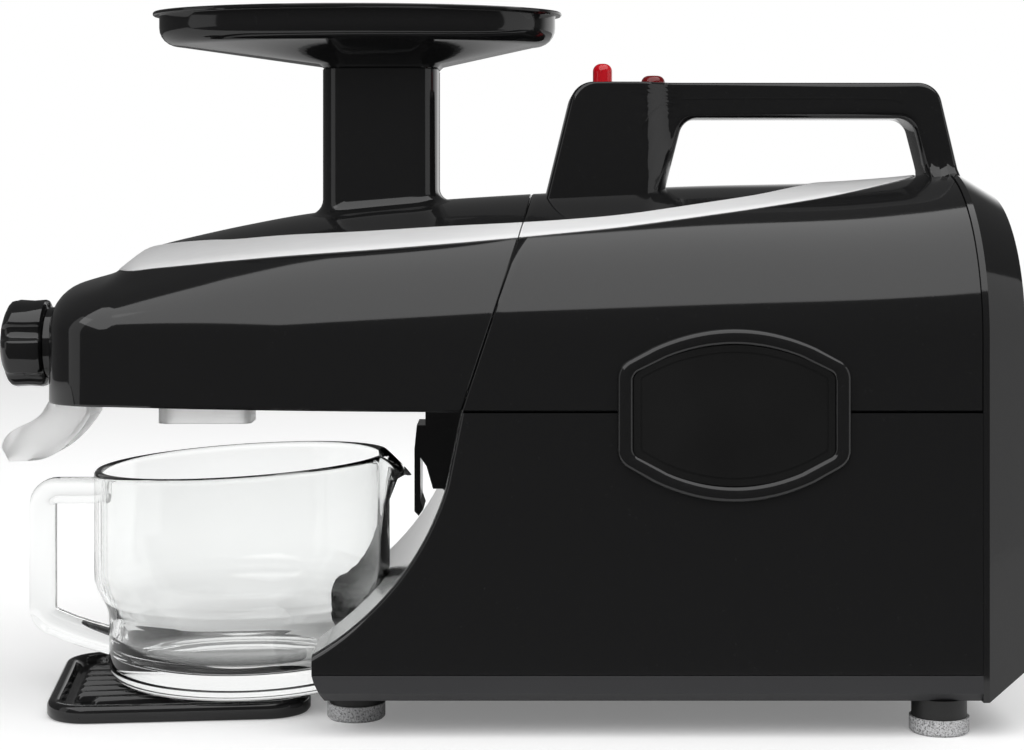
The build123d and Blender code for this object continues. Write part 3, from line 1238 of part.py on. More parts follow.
with BuildPart() as cooling_fan:
    with BuildSketch(gear_plane(FAN_X[0], 0, MOTOR_Z)):
        Circle(12.0)
    extrude(amount=FAN_X[1] - FAN_X[0])
    with BuildSketch(gear_plane(FAN_X[0], 0, MOTOR_Z)):
        Circle(38.0)
    extrude(amount=1.6)
    with BuildSketch(gear_plane(FAN_X[0], 0, MOTOR_Z)):
        with PolarLocations(24.0, FAN_BLADES):
            Rectangle(26.0, 1.8)
    extrude(amount=FAN_X[1] - FAN_X[0])
    with BuildSketch(gear_plane(FAN_X[0], 0, MOTOR_Z)):
        Circle(SHAFT_RADIUS)
    extrude(amount=FAN_X[1] - FAN_X[0], mode=Mode.SUBTRACT)
finish(cooling_fan.part, "cooling_fan")

CRADLE_X = (86.0, 112.0)
FLOOR_Z = BASE_BOTTOM_Z + BASE_FLOOR

with BuildPart() as motor_cradle:
    with BuildSketch(Plane.YZ.offset(CRADLE_X[0])):
        Polygon((-50, FLOOR_Z), (50, FLOOR_Z), (50, FLOOR_Z + 5), (40, FLOOR_Z + 5), (36, MOTOR_Z - 18),
                (-36, MOTOR_Z - 18), (-40, FLOOR_Z + 5), (-50, FLOOR_Z + 5), align=None)
        with Locations((0, MOTOR_Z)):
            Circle(STATOR_RADIUS, mode=Mode.SUBTRACT)
    extrude(amount=8.0)
    with BuildSketch(Plane.YZ.offset(CRADLE_X[1])):
        Polygon((-50, FLOOR_Z), (50, FLOOR_Z), (50, FLOOR_Z + 5), (40, FLOOR_Z + 5), (36, MOTOR_Z - 18),
                (-36, MOTOR_Z - 18), (-40, FLOOR_Z + 5), (-50, FLOOR_Z + 5), align=None)
        with Locations((0, MOTOR_Z)):
            Circle(STATOR_RADIUS, mode=Mode.SUBTRACT)
    extrude(amount=8.0)
    add(slab(CRADLE_X[0], CRADLE_X[1] + 8.0, 50.0, FLOOR_Z, FLOOR_Z + 3))
finish(motor_cradle.part, "motor_cradle")

CAPACITOR_X = 170.0

with BuildPart() as run_capacitor:
    with BuildSketch(Plane.XY.offset(FLOOR_Z)):
        with Locations((CAPACITOR_X, -66.0)):
            Circle(14.0)
    extrude(amount=60.0)
    fillet(run_capacitor.edges().group_by(Axis.Z)[-1], radius=2.0)
finish(run_capacitor.part, "run_capacitor")
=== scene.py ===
"""Studio scene of a cold press juicer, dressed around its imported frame.

Pieces are drawn in millimetres in the frame's axes: +X towards the rear cover, +Y towards the far
side and +Z up. The sheet on the floor, the lamps and the camera are placed in metres.
"""
import json
import math

import bmesh
import bpy
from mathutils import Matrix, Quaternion, Vector


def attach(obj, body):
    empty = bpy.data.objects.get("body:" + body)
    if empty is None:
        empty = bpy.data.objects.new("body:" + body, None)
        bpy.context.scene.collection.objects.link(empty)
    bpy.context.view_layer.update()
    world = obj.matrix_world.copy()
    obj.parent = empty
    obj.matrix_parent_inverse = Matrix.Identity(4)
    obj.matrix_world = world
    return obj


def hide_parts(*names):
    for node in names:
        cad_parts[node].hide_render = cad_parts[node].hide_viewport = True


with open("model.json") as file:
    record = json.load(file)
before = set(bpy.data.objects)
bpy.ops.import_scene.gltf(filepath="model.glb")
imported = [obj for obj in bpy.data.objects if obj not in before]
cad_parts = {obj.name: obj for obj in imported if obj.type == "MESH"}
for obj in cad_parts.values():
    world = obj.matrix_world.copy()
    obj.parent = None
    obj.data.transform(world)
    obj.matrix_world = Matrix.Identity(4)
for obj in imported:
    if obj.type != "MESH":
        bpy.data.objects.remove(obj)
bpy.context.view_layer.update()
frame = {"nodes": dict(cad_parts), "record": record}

MM = 0.001


# ---------------------------------------------------------------- shader maths
MIX_FACTOR, MIX_LOW, MIX_HIGH, MIX_RESULT = 0, 6, 7, 2       # the colour sockets of a Mix node


class Wire:
    """A shader socket that can be used in Python expressions."""

    def __init__(self, tree, socket):
        self.tree = tree
        self.socket = socket

    def __add__(self, other):
        return self.tree.math("ADD", self, other)

    def __radd__(self, other):
        return self.tree.math("ADD", other, self)

    def __sub__(self, other):
        return self.tree.math("SUBTRACT", self, other)

    def __rsub__(self, other):
        return self.tree.math("SUBTRACT", other, self)

    def __mul__(self, other):
        return self.tree.math("MULTIPLY", self, other)

    def __rmul__(self, other):
        return self.tree.math("MULTIPLY", other, self)

    def __pow__(self, other):
        return self.tree.math("POWER", self, other)


class Tree:
    """Node tree that is built from node types, their settings and what feeds their sockets."""

    def __init__(self, node_tree):
        self.nodes = node_tree.nodes
        self.links = node_tree.links

    def node(self, kind, settings=None, inputs=None, output=0):
        made = self.nodes.new(kind)
        for key, value in (settings or {}).items():
            setattr(made, key, value)
        for key, value in (inputs or {}).items():
            self.feed(made.inputs[key], value)
        return Wire(self, made.outputs[output])

    def feed(self, socket, value):
        if isinstance(value, Wire):
            self.links.new(value.socket, socket)
        else:
            socket.default_value = value

    def math(self, operation, first, second):
        return self.node("ShaderNodeMath", {"operation": operation}, {0: first, 1: second})

    def ease(self, value, low, high, start, end):
        """Level that runs smoothly from start to end as value goes from low to high."""
        return self.node("ShaderNodeMapRange", {"interpolation_type": "SMOOTHSTEP"},
                         {"Value": value, "From Min": low, "From Max": high, "To Min": start,
                          "To Max": end})


class Shader(Tree):
    """Node tree of one material, with a Principled shader ready to be wired."""

    def __init__(self, name, **constants):
        self.material = bpy.data.materials.new(name)
        self.material.use_nodes = True
        super().__init__(self.material.node_tree)
        self.surface = next(n for n in self.nodes if n.type == "BSDF_PRINCIPLED")
        self.wire(**constants)

    def wire(self, **sockets):
        for name, value in sockets.items():
            self.feed(self.surface.inputs[name.replace("_", " ")], value)

    def place(self, scale=(1.0, 1.0, 1.0)):
        """Object coordinates in metres, stretched by scale."""
        coordinates = self.node("ShaderNodeTexCoord", output="Object")
        return self.node("ShaderNodeMapping", inputs={"Vector": coordinates, "Scale": scale})

    def noise(self, scale, detail, stretch=(1.0, 1.0, 1.0), roughness=0.5):
        return self.node("ShaderNodeTexNoise",
                         inputs={"Vector": self.place(stretch), "Scale": scale, "Detail": detail,
                                 "Roughness": roughness})

    def bump(self, height, strength, distance=0.0002):
        self.wire(Normal=self.node("ShaderNodeBump",
                                   inputs={"Strength": strength, "Distance": distance, "Height": height}))

    def tint(self, factor, low, high):
        """Colour that runs from low to high as factor goes from 0 to 1."""
        return self.node("ShaderNodeMix", {"data_type": "RGBA"},
                         {MIX_FACTOR: factor, MIX_LOW: low, MIX_HIGH: high}, MIX_RESULT)

    def coat(self, factor, low, high, roughness):
        """Base colour between low and high, and the roughness over it."""
        self.wire(Base_Color=self.tint(factor, low, high), Roughness=roughness)


def rgb(red, green, blue):
    return (red, green, blue, 1.0)


def grey(level):
    return rgb(level, level, level)


# ---------------------------------------------------------------- finishes
def piano_black():
    """High gloss moulding with a little dust in its polish."""
    s = Shader("piano_black", IOR=1.5)
    cloud = s.noise(14.0, 3.0)
    speck = s.noise(900.0, 2.0) ** 9.0
    s.coat(speck * 3.0, rgb(0.0095, 0.0095, 0.0098), grey(0.03), 0.05 + cloud * 0.04 + speck * 0.4)
    s.bump(s.noise(55.0, 2.0), 0.015)
    return s.material


def satin_graphite():
    s = Shader("satin_graphite", IOR=1.48)
    grain = s.noise(1600.0, 3.0)
    s.coat(s.noise(9.0, 3.0), rgb(0.022, 0.022, 0.024), rgb(0.032, 0.032, 0.034), 0.42 + grain * 0.12)
    s.bump(grain, 0.25, 0.00008)
    return s.material


def brushed_silver():
    """Trim brushed along the machine."""
    s = Shader("brushed_silver", Metallic=0.45)
    hair = s.noise(700.0, 5.0, (0.03, 1.0, 1.0), 0.65)
    cloud = s.noise(20.0, 2.0)
    s.coat(hair, rgb(0.66, 0.66, 0.665), grey(0.74), 0.5 + hair * 0.1 + cloud * 0.04)
    s.bump(hair, 0.06, 0.0001)
    return s.material


def badge_enamel():
    s = Shader("badge_enamel", IOR=1.5)
    cloud = s.noise(30.0, 3.0)
    s.coat(cloud, grey(0.006), grey(0.012), 0.16 + cloud * 0.1)
    s.bump(s.noise(1200.0, 2.0), 0.05, 0.00005)
    return s.material


def red_plastic(name, low, high):
    """Glossy red moulding that lets some light through."""
    s = Shader(name, IOR=1.49, Transmission_Weight=0.3)
    cloud = s.noise(300.0, 2.0)
    s.coat(cloud, low, high, 0.06 + cloud * 0.06)
    s.bump(cloud, 0.04, 0.00005)
    return s.material


def speckled_rubber():
    """Pale rubber of the feet, with dark flecks."""
    s = Shader("speckled_rubber", IOR=1.45)
    fleck = s.noise(1500.0, 2.0) ** 5.0
    s.coat(fleck * 9.0, rgb(0.64, 0.64, 0.65), grey(0.14), 0.75 + fleck * 0.2)
    s.bump(s.noise(900.0, 3.0), 0.3, 0.0001)
    return s.material


def frosted_white():
    s = Shader("frosted_white", IOR=1.46, Transmission_Weight=0.9)
    cloud = s.noise(60.0, 3.0)
    s.coat(cloud, grey(0.98), rgb(1.0, 1.0, 0.995), 0.36 + cloud * 0.1)
    s.bump(s.noise(800.0, 2.0), 0.12, 0.00008)
    return s.material


def clear_glass():
    """Pressed glass with slow waves in its wall."""
    s = Shader("clear_glass", IOR=1.47, Transmission_Weight=1.0)
    cloud = s.noise(22.0, 2.0)
    s.coat(cloud, rgb(0.94, 0.95, 0.945), rgb(0.965, 0.97, 0.965), 0.005 + cloud * 0.012)
    s.bump(s.noise(38.0, 1.0), 0.05, 0.0004)
    return s.material


def machined_steel():
    """Turned steel, its tool marks running round the shafts."""
    s = Shader("machined_steel", Metallic=1.0)
    ring = s.noise(500.0, 4.0, (1.0, 0.1, 0.1))
    s.coat(ring, rgb(0.50, 0.50, 0.51), grey(0.68), 0.28 + ring * 0.2)
    s.bump(ring, 0.1, 0.00005)
    return s.material


def cast_metal():
    s = Shader("cast_metal", Metallic=1.0)
    sand = s.noise(400.0, 4.0)
    s.coat(sand, rgb(0.40, 0.40, 0.41), rgb(0.58, 0.58, 0.59), 0.5 + sand * 0.2)
    s.bump(sand, 0.4, 0.0002)
    return s.material


def enamelled_copper():
    s = Shader("enamelled_copper", Metallic=0.9)
    turn = s.noise(700.0, 2.0, (1.0, 0.2, 0.2))
    s.coat(turn, rgb(0.45, 0.16, 0.06), rgb(0.72, 0.34, 0.16), 0.3 + turn * 0.2)
    s.bump(turn, 0.5, 0.0003)
    return s.material


def sintered_bronze():
    s = Shader("sintered_bronze", Metallic=1.0)
    pore = s.noise(1500.0, 3.0)
    s.coat(pore, rgb(0.42, 0.27, 0.12), rgb(0.62, 0.43, 0.22), 0.35 + pore * 0.25)
    s.bump(pore, 0.2, 0.00005)
    return s.material


def matt_black(name, roughness):
    """Black seal rubber or switch plastic, by its roughness."""
    s = Shader(name, IOR=1.45)
    grain = s.noise(1300.0, 3.0)
    s.coat(grain, grey(0.010), grey(0.022), roughness + grain * 0.12)
    s.bump(grain, 0.2, 0.00006)
    return s.material


FINISHES = {
    "gloss_black": piano_black(),
    "satin_grey": satin_graphite(),
    "trim_silver": brushed_silver(),
    "badge_black": badge_enamel(),
    "red_lens": red_plastic("red_button", rgb(0.62, 0.006, 0.014), rgb(0.84, 0.016, 0.03)),
    "dark_lens": red_plastic("dark_red_lens", rgb(0.16, 0.003, 0.005), rgb(0.24, 0.006, 0.008)),
    "foot_rubber": speckled_rubber(),
    "frosted_white": frosted_white(),
    "clear_glass": clear_glass(),
    "steel": machined_steel(),
    "cast_metal": cast_metal(),
    "winding_copper": enamelled_copper(),
    "bearing_bronze": sintered_bronze(),
    "black_rubber": matt_black("seal_rubber", 0.7),
    "switch_black": matt_black("switch_black", 0.38),
}


def dress_frame():
    """Give every carried-over node the finish of its material slot, and the indicator its darker red."""
    for entry in frame["record"]["subparts"]:
        mesh = frame["nodes"][entry["node"]].data
        mesh.materials.clear()
        finish = "dark_lens" if entry["node"] == "indicator_lens" else entry["material_slot"]
        mesh.materials.append(FINISHES[finish])


dress_frame()


# ---------------------------------------------------------------- mesh helpers
SHARP_EDGE = math.radians(38)
QUARTER_STEPS = 6


def settle(name, points, faces, finish, body):
    """Mesh object from points in millimetres, with its finish and the body it rides on."""
    mesh = bpy.data.meshes.new(name)
    mesh.from_pydata([tuple(c * MM for c in p) for p in points], [], faces)
    shape = bmesh.new()
    shape.from_mesh(mesh)
    bmesh.ops.recalc_face_normals(shape, faces=shape.faces)
    shape.to_mesh(mesh)
    shape.free()
    mesh.shade_smooth()
    mesh.set_sharp_from_angle(angle=SHARP_EDGE)
    mesh.materials.append(FINISHES[finish])
    made = bpy.data.objects.new(name, mesh)
    bpy.context.scene.collection.objects.link(made)
    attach(made, body)
    return made


def moved(faces, base):
    """Faces of a part whose points start at place base of a longer list."""
    return [tuple(base + i for i in face) for face in faces]


def lathe_faces(rows, turns):
    """Quads over a grid of rows by turns, closed round each row."""
    faces = []
    for row in range(rows - 1):
        here, above = row * turns, (row + 1) * turns
        for turn in range(turns):
            after = (turn + 1) % turns
            faces.append((here + turn, here + after, above + after, above + turn))
    return faces


def tube_mesh(rings):
    """Points and faces of closed rings joined in a row, both ends closed."""
    count = len(rings[0])
    points = [p for ring in rings for p in ring]
    faces = lathe_faces(len(rings), count)
    faces.append(tuple(range(count - 1, -1, -1)))
    faces.append(tuple(range(len(points) - count, len(points))))
    return points, faces


def arc(centre, radius, start, end, steps):
    """Points on a circular arc in a profile, angles in degrees."""
    points = []
    for step in range(steps + 1):
        angle = math.radians(start + (end - start) * step / steps)
        points.append((centre[0] + radius * math.cos(angle), centre[1] + radius * math.sin(angle)))
    return points


def quarter(radius):
    """How far a rounded edge lies in from the wall and down from the face, from face to wall."""
    turns = [math.radians(90 * step / QUARTER_STEPS) for step in range(QUARTER_STEPS + 1)]
    return [(radius * (1 - math.sin(turn)), radius * (1 - math.cos(turn))) for turn in turns]


def rounded_plan(centre_x, length, width, radius, turn=6):
    """Rounded rectangle in plan, counter-clockwise, with turn steps in each corner."""
    ring = []
    for corner, (side_x, side_y) in enumerate(((1, 1), (-1, 1), (-1, -1), (1, -1))):
        middle = (centre_x + side_x * (length / 2 - radius), side_y * (width / 2 - radius))
        ring += arc(middle, radius, 90 * corner, 90 * corner + 90, turn)
    return ring


def between(start, end, share):
    """Point at a share of the way from start to end."""
    return tuple(a + (b - a) * share for a, b in zip(start, end))


def smooth_step(value, low, high):
    share = min(1.0, max(0.0, (value - low) / (high - low)))
    return share * share * (3.0 - 2.0 * share)


def spline_point(four, share):
    """Catmull-Rom point between the second and third of four points."""
    point = []
    for a, b, c, d in zip(*four):
        bow = 2 * a - 5 * b + 4 * c - d + share * (3 * (b - c) + d - a)
        point.append(b + 0.5 * share * (c - a + share * bow))
    return tuple(point)


# ---------------------------------------------------------------- glass pitcher
PITCHER_X = -119.8
PITCHER_RADIUS, BAND_RADIUS, GLASS = 68.9, 62.0, 4.0
PITCHER_FOOT, PITCHER_RIM = 8.3, 109.7
FOOT_HOLLOW, FOOT_ROUND = 1.4, 8.5
RIM_ROUND = 3.2              # the straight wall ends this far under the rim
WALL_ROWS = [60.0, 75.0, 88.0, 98.0]
BOWL_FLOOR, BOWL_ROUND, BAND_DRAW = 18.5, 12.0, 7.4
RIM_RISE, RISE_FROM, RISE_TO = 0.055, 62.0, 105.7      # slope of the rim, and where it comes in
SPOUT_REACH, SPOUT_DROP, SPOUT_ANGLE, SPOUT_FROM = 11.3, 11.5, 15.0, 88.0
BEAK_CURVE, REACH_CURVE, DROP_CURVE = 1.15, 1.4, 3.0
BEAK_EASE = (-0.5, 0.6)
SPOUT_TURNS, ROUND_TURNS, SPOUT_MARGIN = 48, 120, 1.2
BAR_TOP, BAR_BACK = 95.0, -213.8
BAR_TURN, BAR_FOOT_TURN, BAR_FOOT_Z = 6.4, 7.4, 40.4
BAR_WIDTH, BAR_THICK, BAR_ROUND = 12.8, 11.8, 3.6


def pitcher_profile():
    """Radius and height along the glass, from the middle of the foot outside to the middle inside."""
    foot, rim, outer = PITCHER_FOOT, PITCHER_RIM, PITCHER_RADIUS
    outside = [(0.0, foot + FOOT_HOLLOW), (40.0, foot + FOOT_HOLLOW), (48.0, foot + FOOT_HOLLOW / 2)]
    outside.append((51.0, foot))
    outside += arc((BAND_RADIUS - FOOT_ROUND, foot + FOOT_ROUND), FOOT_ROUND, -90, 0, 10)
    outside += [(BAND_RADIUS, 24.0), (BAND_RADIUS, 34.0), (BAND_RADIUS + 0.2, 40.0)]
    outside += [(BAND_RADIUS + 1.2, 43.5), (BAND_RADIUS + 3.4, 47.5)]
    outside += [(outer - 1.4, 51.5), (outer - 0.2, 55.5)]
    outside += [(outer, z) for z in WALL_ROWS + [rim - RIM_ROUND]]
    bead = arc((outer - GLASS / 2, rim - GLASS / 2), GLASS / 2, 0, 180, 8)
    inner = outer - GLASS
    inside = [(inner, z) for z in [rim - RIM_ROUND] + WALL_ROWS[::-1]]
    inside += [(inner - 0.4, 55.0), (inner - 2.0, 51.0), (inner - 4.4, 46.5), (inner - 6.4, 42.5)]
    inside += [(inner - 7.2, 38.5), (inner - BAND_DRAW, 33.0)]
    inside += arc((inner - BAND_DRAW - BOWL_ROUND, 31.0), BOWL_ROUND, 0, -90, 12)
    inside += [(30.0, BOWL_FLOOR + 0.2), (12.0, BOWL_FLOOR), (0.0, BOWL_FLOOR)]
    return outside + bead + inside


def pitcher_point(radius, height, angle):
    """One point of the glass, with the slanted rim and the spout worked in."""
    x, y = radius * math.cos(angle), radius * math.sin(angle)
    slant = RIM_RISE * x * smooth_step(height, RISE_FROM, RISE_TO)
    across = abs(math.degrees(math.atan2(y, x))) / SPOUT_ANGLE
    beak = max(0.0, 1.0 - across)
    beak = beak ** BEAK_CURVE * smooth_step(beak, *BEAK_EASE)
    lift = min(1.0, max(0.0, (height - SPOUT_FROM) / (PITCHER_RIM - SPOUT_FROM)))
    x += SPOUT_REACH * beak * lift ** REACH_CURVE
    z = height + slant - SPOUT_DROP * beak * lift ** DROP_CURVE
    return PITCHER_X + x, y, z


def turn_angles():
    """Angles round the pitcher, closer together at the spout."""
    edge = SPOUT_ANGLE * SPOUT_MARGIN
    fine = [math.radians(-edge + 2 * edge * step / SPOUT_TURNS) for step in range(SPOUT_TURNS)]
    start, stop = math.radians(edge), math.radians(360.0 - edge)
    return fine + [start + (stop - start) * step / ROUND_TURNS for step in range(ROUND_TURNS)]


def bar_ring(centre, along):
    """Rounded section of the handle's bar, square to its direction in the XZ plane."""
    length = math.hypot(*along)
    normal_x, normal_z = -along[1] / length, along[0] / length
    return [(centre[0] + normal_x * t, v, centre[1] + normal_z * t)
            for v, t in rounded_plan(0.0, BAR_WIDTH, BAR_THICK, BAR_ROUND, 5)]


def pitcher_handle():
    """Points and faces of the bent bar that is the handle, its ends sunk into the wall."""
    path = [(x, BAR_TOP) for x in (-185.6, -190.5, -196.0, -204.0)]
    path += arc((BAR_BACK + BAR_TURN, BAR_TOP - BAR_TURN), BAR_TURN, 90, 180, 8)
    path += [(BAR_BACK, z) for z in (80.0, 62.0, 46.0)]
    path += arc((BAR_BACK + BAR_FOOT_TURN, BAR_FOOT_Z), BAR_FOOT_TURN, 180, 250, 8)
    path += [(-200.5, 30.0), (-192.0, 27.2), (-184.0, 24.9), (-179.4, 23.6)]
    rings = []
    for step, place in enumerate(path):
        before, after = path[max(step - 1, 0)], path[min(step + 1, len(path) - 1)]
        rings.append(bar_ring(place, (after[0] - before[0], after[1] - before[1])))
    return tube_mesh(rings)


def build_pitcher():
    """Glass and handle in one; the profile's two ends on the axis become the hubs of fans."""
    angles, profile = turn_angles(), pitcher_profile()
    rows, turns = len(profile) - 2, len(angles)
    points = [pitcher_point(r, z, angle) for r, z in profile[1:-1] for angle in angles]
    faces = lathe_faces(rows, turns)
    for row, (_, height) in ((0, profile[0]), (rows - 1, profile[-1])):
        hub = len(points)
        points.append((PITCHER_X, 0.0, height))
        for turn in range(turns):
            pair = (row * turns + turn, row * turns + (turn + 1) % turns)
            faces.append((hub, *(pair[::-1] if row == 0 else pair)))
    bar_points, bar_faces = pitcher_handle()
    faces += moved(bar_faces, len(points))
    points += bar_points
    pitcher = settle("pitcher_glass", points, faces, "clear_glass", "pitcher")
    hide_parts("glass_pitcher")


build_pitcher()


# ---------------------------------------------------------------- casing form
ARCH_FOOT_Z, FLOOR_Z = 172.0, 140.15
NOSE_X, NOSE_FLAT, NOSE_ROUND = -203.5, 32.0, 32.0
FULL_WIDTH = 87.0
SEAM_FOOT_X, SEAM_FOOT_Z = -15.3, 140.0
SEAM_RUN, SEAM_CLIMB = 31.3, 94.2
REAR_SEAM_X = 209.15
CASING_WALL = 3.0
# Height of the deck's crown over the arch's foot along X, and of its shoulders, which lack the
# crown's step at the tip of the strip.
CROWN = [(-203.5, 12.0), (-201.6, 16.2), (-196.0, 20.4), (-187.5, 23.2), (-178.0, 26.1), (-171.0, 31.4),
         (-163.7, 36.6), (-154.0, 39.6), (-137.8, 43.5), (-118.5, 47.7), (-90.2, 52.9), (-55.0, 57.3),
         (-15.0, 60.4), (40.0, 63.6), (95.0, 66.1), (150.0, 67.4), (185.0, 69.8), (212.0, 72.8)]
SHOULDER = [(-203.5, 12.0), (-201.6, 16.2), (-196.0, 20.6), (-187.5, 24.4), (-175.0, 28.6), (-158.0, 35.0),
            (-137.8, 41.6), (-118.5, 47.0)] + CROWN[10:]
SHOULDER_CLIMB, CROWN_CLIMB = 0.62, 0.95
ARCH_STEPS = 72
SLANT_ROUNDS = 6             # rounds in which a point on a slanted section finds its X and Z


def line_slope(line, index):
    """Slope of a rising line at one of its points."""
    if index in (0, len(line) - 1):
        low, high = (line[0], line[1]) if index == 0 else (line[-2], line[-1])
        return (high[1] - low[1]) / (high[0] - low[0])
    left, here, right = line[index - 1:index + 2]
    before = (here[1] - left[1]) / (here[0] - left[0])
    after = (right[1] - here[1]) / (right[0] - here[0])
    return 2.0 * before * after / (before + after)


def line_height(line, x):
    """Height of a rising line at station x, smooth through its points."""
    index = max(k for k in range(len(line) - 1) if k == 0 or line[k][0] <= x)
    (low_x, low), (high_x, high) = line[index:index + 2]
    width = high_x - low_x
    share = min(1.0, max(0.0, (x - low_x) / width))
    square, cube = share ** 2, share ** 3
    leaving, arriving = width * line_slope(line, index), width * line_slope(line, index + 1)
    return ((2 * cube - 3 * square + 1) * low + (cube - 2 * square + share) * leaving
            + (3 * square - 2 * cube) * high + (cube - square) * arriving)


def arch_rise(x, climb):
    """Height of the arch that passes x, climb going from 0 at its foot to 1 at the crown."""
    top = smooth_step(climb, SHOULDER_CLIMB, CROWN_CLIMB)
    return line_height(SHOULDER, x) * (1.0 - top) + line_height(CROWN, x) * top


def half_width(x):
    """Half the width at station x: rounded nose, taper and parallel body."""
    if x < NOSE_X + NOSE_ROUND:
        run = max(0.0, x - NOSE_X) / NOSE_ROUND
        return NOSE_FLAT + NOSE_ROUND * math.sqrt(max(0.0, 1.0 - (1.0 - run) ** 2))
    run = max(0.0, -x / (-NOSE_X - NOSE_ROUND))
    return FULL_WIDTH - (FULL_WIDTH - NOSE_FLAT - NOSE_ROUND) * run ** 2


def seam_x(z):
    """Slanted joint between juicing housing and body, at height z."""
    return SEAM_FOOT_X + (z - SEAM_FOOT_Z) * SEAM_RUN / SEAM_CLIMB


def deck_z(x, y):
    """Height of the arched deck over a place in plan."""
    share = min(1.0, abs(y) / half_width(x))
    climb = math.sqrt(1.0 - share * share)
    return ARCH_FOOT_Z + arch_rise(x, climb) * climb


def section_shape():
    """Share of the half width and climb of a section's points: 0 floor, 1 foot of the arch, 2 crown."""
    half = [(share, 0.0) for share in (0.25, 0.5, 0.75, 0.985)]
    half += [(1.0, climb) for climb in (0.03, 0.35, 0.7)]
    left = [(-share, climb) for share, climb in reversed(half)]
    turns = [math.pi * k / ARCH_STEPS for k in range(ARCH_STEPS + 1)]
    return [(0.0, 0.0)] + half + [(math.cos(turn), 1.0 + math.sin(turn)) for turn in turns] + left


SECTION = section_shape()


def section_ring(station, inset=0.0, floor=FLOOR_Z):
    """Closed ring round the casing; station(z) gives its X at height z."""
    ring = []
    for share, climb in SECTION:
        arch = max(0.0, climb - 1.0)
        z = ARCH_FOOT_Z
        for _ in range(SLANT_ROUNDS):
            x = station(z)
            z = floor + (ARCH_FOOT_Z - floor) * min(climb, 1.0) + (arch_rise(x, arch) - inset) * arch
        ring.append((x, share * (half_width(x) - inset), z))
    return ring


# ---------------------------------------------------------------- juicing housing
CHUTE_X, CHUTE_LENGTH, CHUTE_WIDTH, CHUTE_ROUND = -54.4, 53.6, 48.0, 12.0
CHUTE_TOP, CHUTE_EDGE, CHUTE_BAND = 292.6, 0.6, 20.0
CHUTE_FOOT, FOOT_OVER, FOOT_SINK, BORE_SINK = 6.0, 0.8, 0.6, 0.5
SEAM_GAP = 0.15              # half the gap at the slanted joint
SEAM_EASE, EASE_INSET, EASE_FLOOR = 0.6, 0.5, 0.4
NOSE_EASE = [(0.0, 0.8), (0.35, 0.2)]        # run behind the nose, and inset from the casing's side
NOSE_TURNS, HOUSING_ROWS, BODY_ROWS = 15, 76, 60


def chute_ring(outward, height):
    """Ring of the feed chute; height is a function of the place in plan."""
    length, width = CHUTE_LENGTH + 2 * outward, CHUTE_WIDTH + 2 * outward
    return [(x, y, height(x, y)) for x, y in rounded_plan(CHUTE_X, length, width, CHUTE_ROUND + outward)]


def chute_rings():
    """Up the bore, over the rim, down the wall and out over the foot that meets the deck."""
    wall, top, edge = CASING_WALL, CHUTE_TOP, CHUTE_EDGE
    rings = [chute_ring(-wall, lambda x, y: deck_z(x, y) - wall - BORE_SINK)]
    for outward, z in ((-wall, top - edge), (-wall + edge, top), (-edge, top), (0.0, top - edge),
                       (0.0, top - CHUTE_BAND)):
        rings.append(chute_ring(outward, lambda x, y, z=z: z))
    for rise, outward in quarter(CHUTE_FOOT):
        rings.append(chute_ring(outward, lambda x, y, rise=rise: deck_z(x, y) + rise))
    rings.append(chute_ring(CHUTE_FOOT + FOOT_OVER, lambda x, y: deck_z(x, y) - FOOT_SINK))
    return rings


def inside_chute(x, y, inset):
    """Whether a place in plan lies inside the chute's outline drawn in by inset."""
    reach_x = abs(x - CHUTE_X) - (CHUTE_LENGTH / 2 - CHUTE_ROUND)
    reach_y = abs(y) - (CHUTE_WIDTH / 2 - CHUTE_ROUND)
    reach = math.hypot(max(0.0, reach_x), max(0.0, reach_y)) + min(0.0, max(reach_x, reach_y))
    return reach < CHUTE_ROUND - inset


def housing_stations():
    """Shares of the housing's length, close together at the rounded nose."""
    turns = [math.radians(90 * k / NOSE_TURNS) for k in range(1, NOSE_TURNS + 1)]
    nose = [NOSE_ROUND * (1 - math.cos(turn)) for turn in turns]
    rest = [NOSE_ROUND + (-NOSE_X - NOSE_ROUND) * k / HOUSING_ROWS for k in range(1, HOUSING_ROWS + 1)]
    return [run / -NOSE_X for run in nose + rest]


def housing_ring(share, inset):
    """Ring at a share of the way from the nose to the joint, on a skin that lies inset deep."""
    front = NOSE_X + inset
    return section_ring(lambda z: front + share * (seam_x(z) - SEAM_GAP - front), inset, FLOOR_Z + inset)


def build_housing():
    """Juicing housing with its feed chute, hollow and open towards the slanted joint."""
    shares = housing_stations()
    rings = [section_ring(lambda z, run=run: NOSE_X + run, inset) for run, inset in NOSE_EASE]
    rings += [housing_ring(share, 0.0) for share in shares[:-1]]
    rings.append(section_ring(lambda z: seam_x(z) - SEAM_GAP - SEAM_EASE))
    rings.append(section_ring(lambda z: seam_x(z) - SEAM_GAP, EASE_INSET, FLOOR_Z + EASE_FLOOR))
    rings += [housing_ring(share, CASING_WALL) for share in reversed(shares)]
    points, faces = tube_mesh(rings)
    kept = []
    for face in faces:
        x, y, z = (sum(points[i][axis] for i in face) / len(face) for axis in range(3))
        if len(face) > 4 or z < ARCH_FOOT_Z or not inside_chute(x, y, CASING_WALL / 2):
            kept.append(face)
    chute = chute_rings()
    kept += moved(lathe_faces(len(chute), len(chute[0])), len(points))
    points += [p for ring in chute for p in ring]
    piece = settle("housing_casing", points, kept, "gloss_black", "juicing_head")
    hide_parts("juicing_housing")


# ---------------------------------------------------------------- body casing
AXIS_Z = 164.4               # drive shaft and outlet knob
PORT_RADIUS, PORT_DEPTH = 24.0, 6.0
REAR_EASE = 0.4


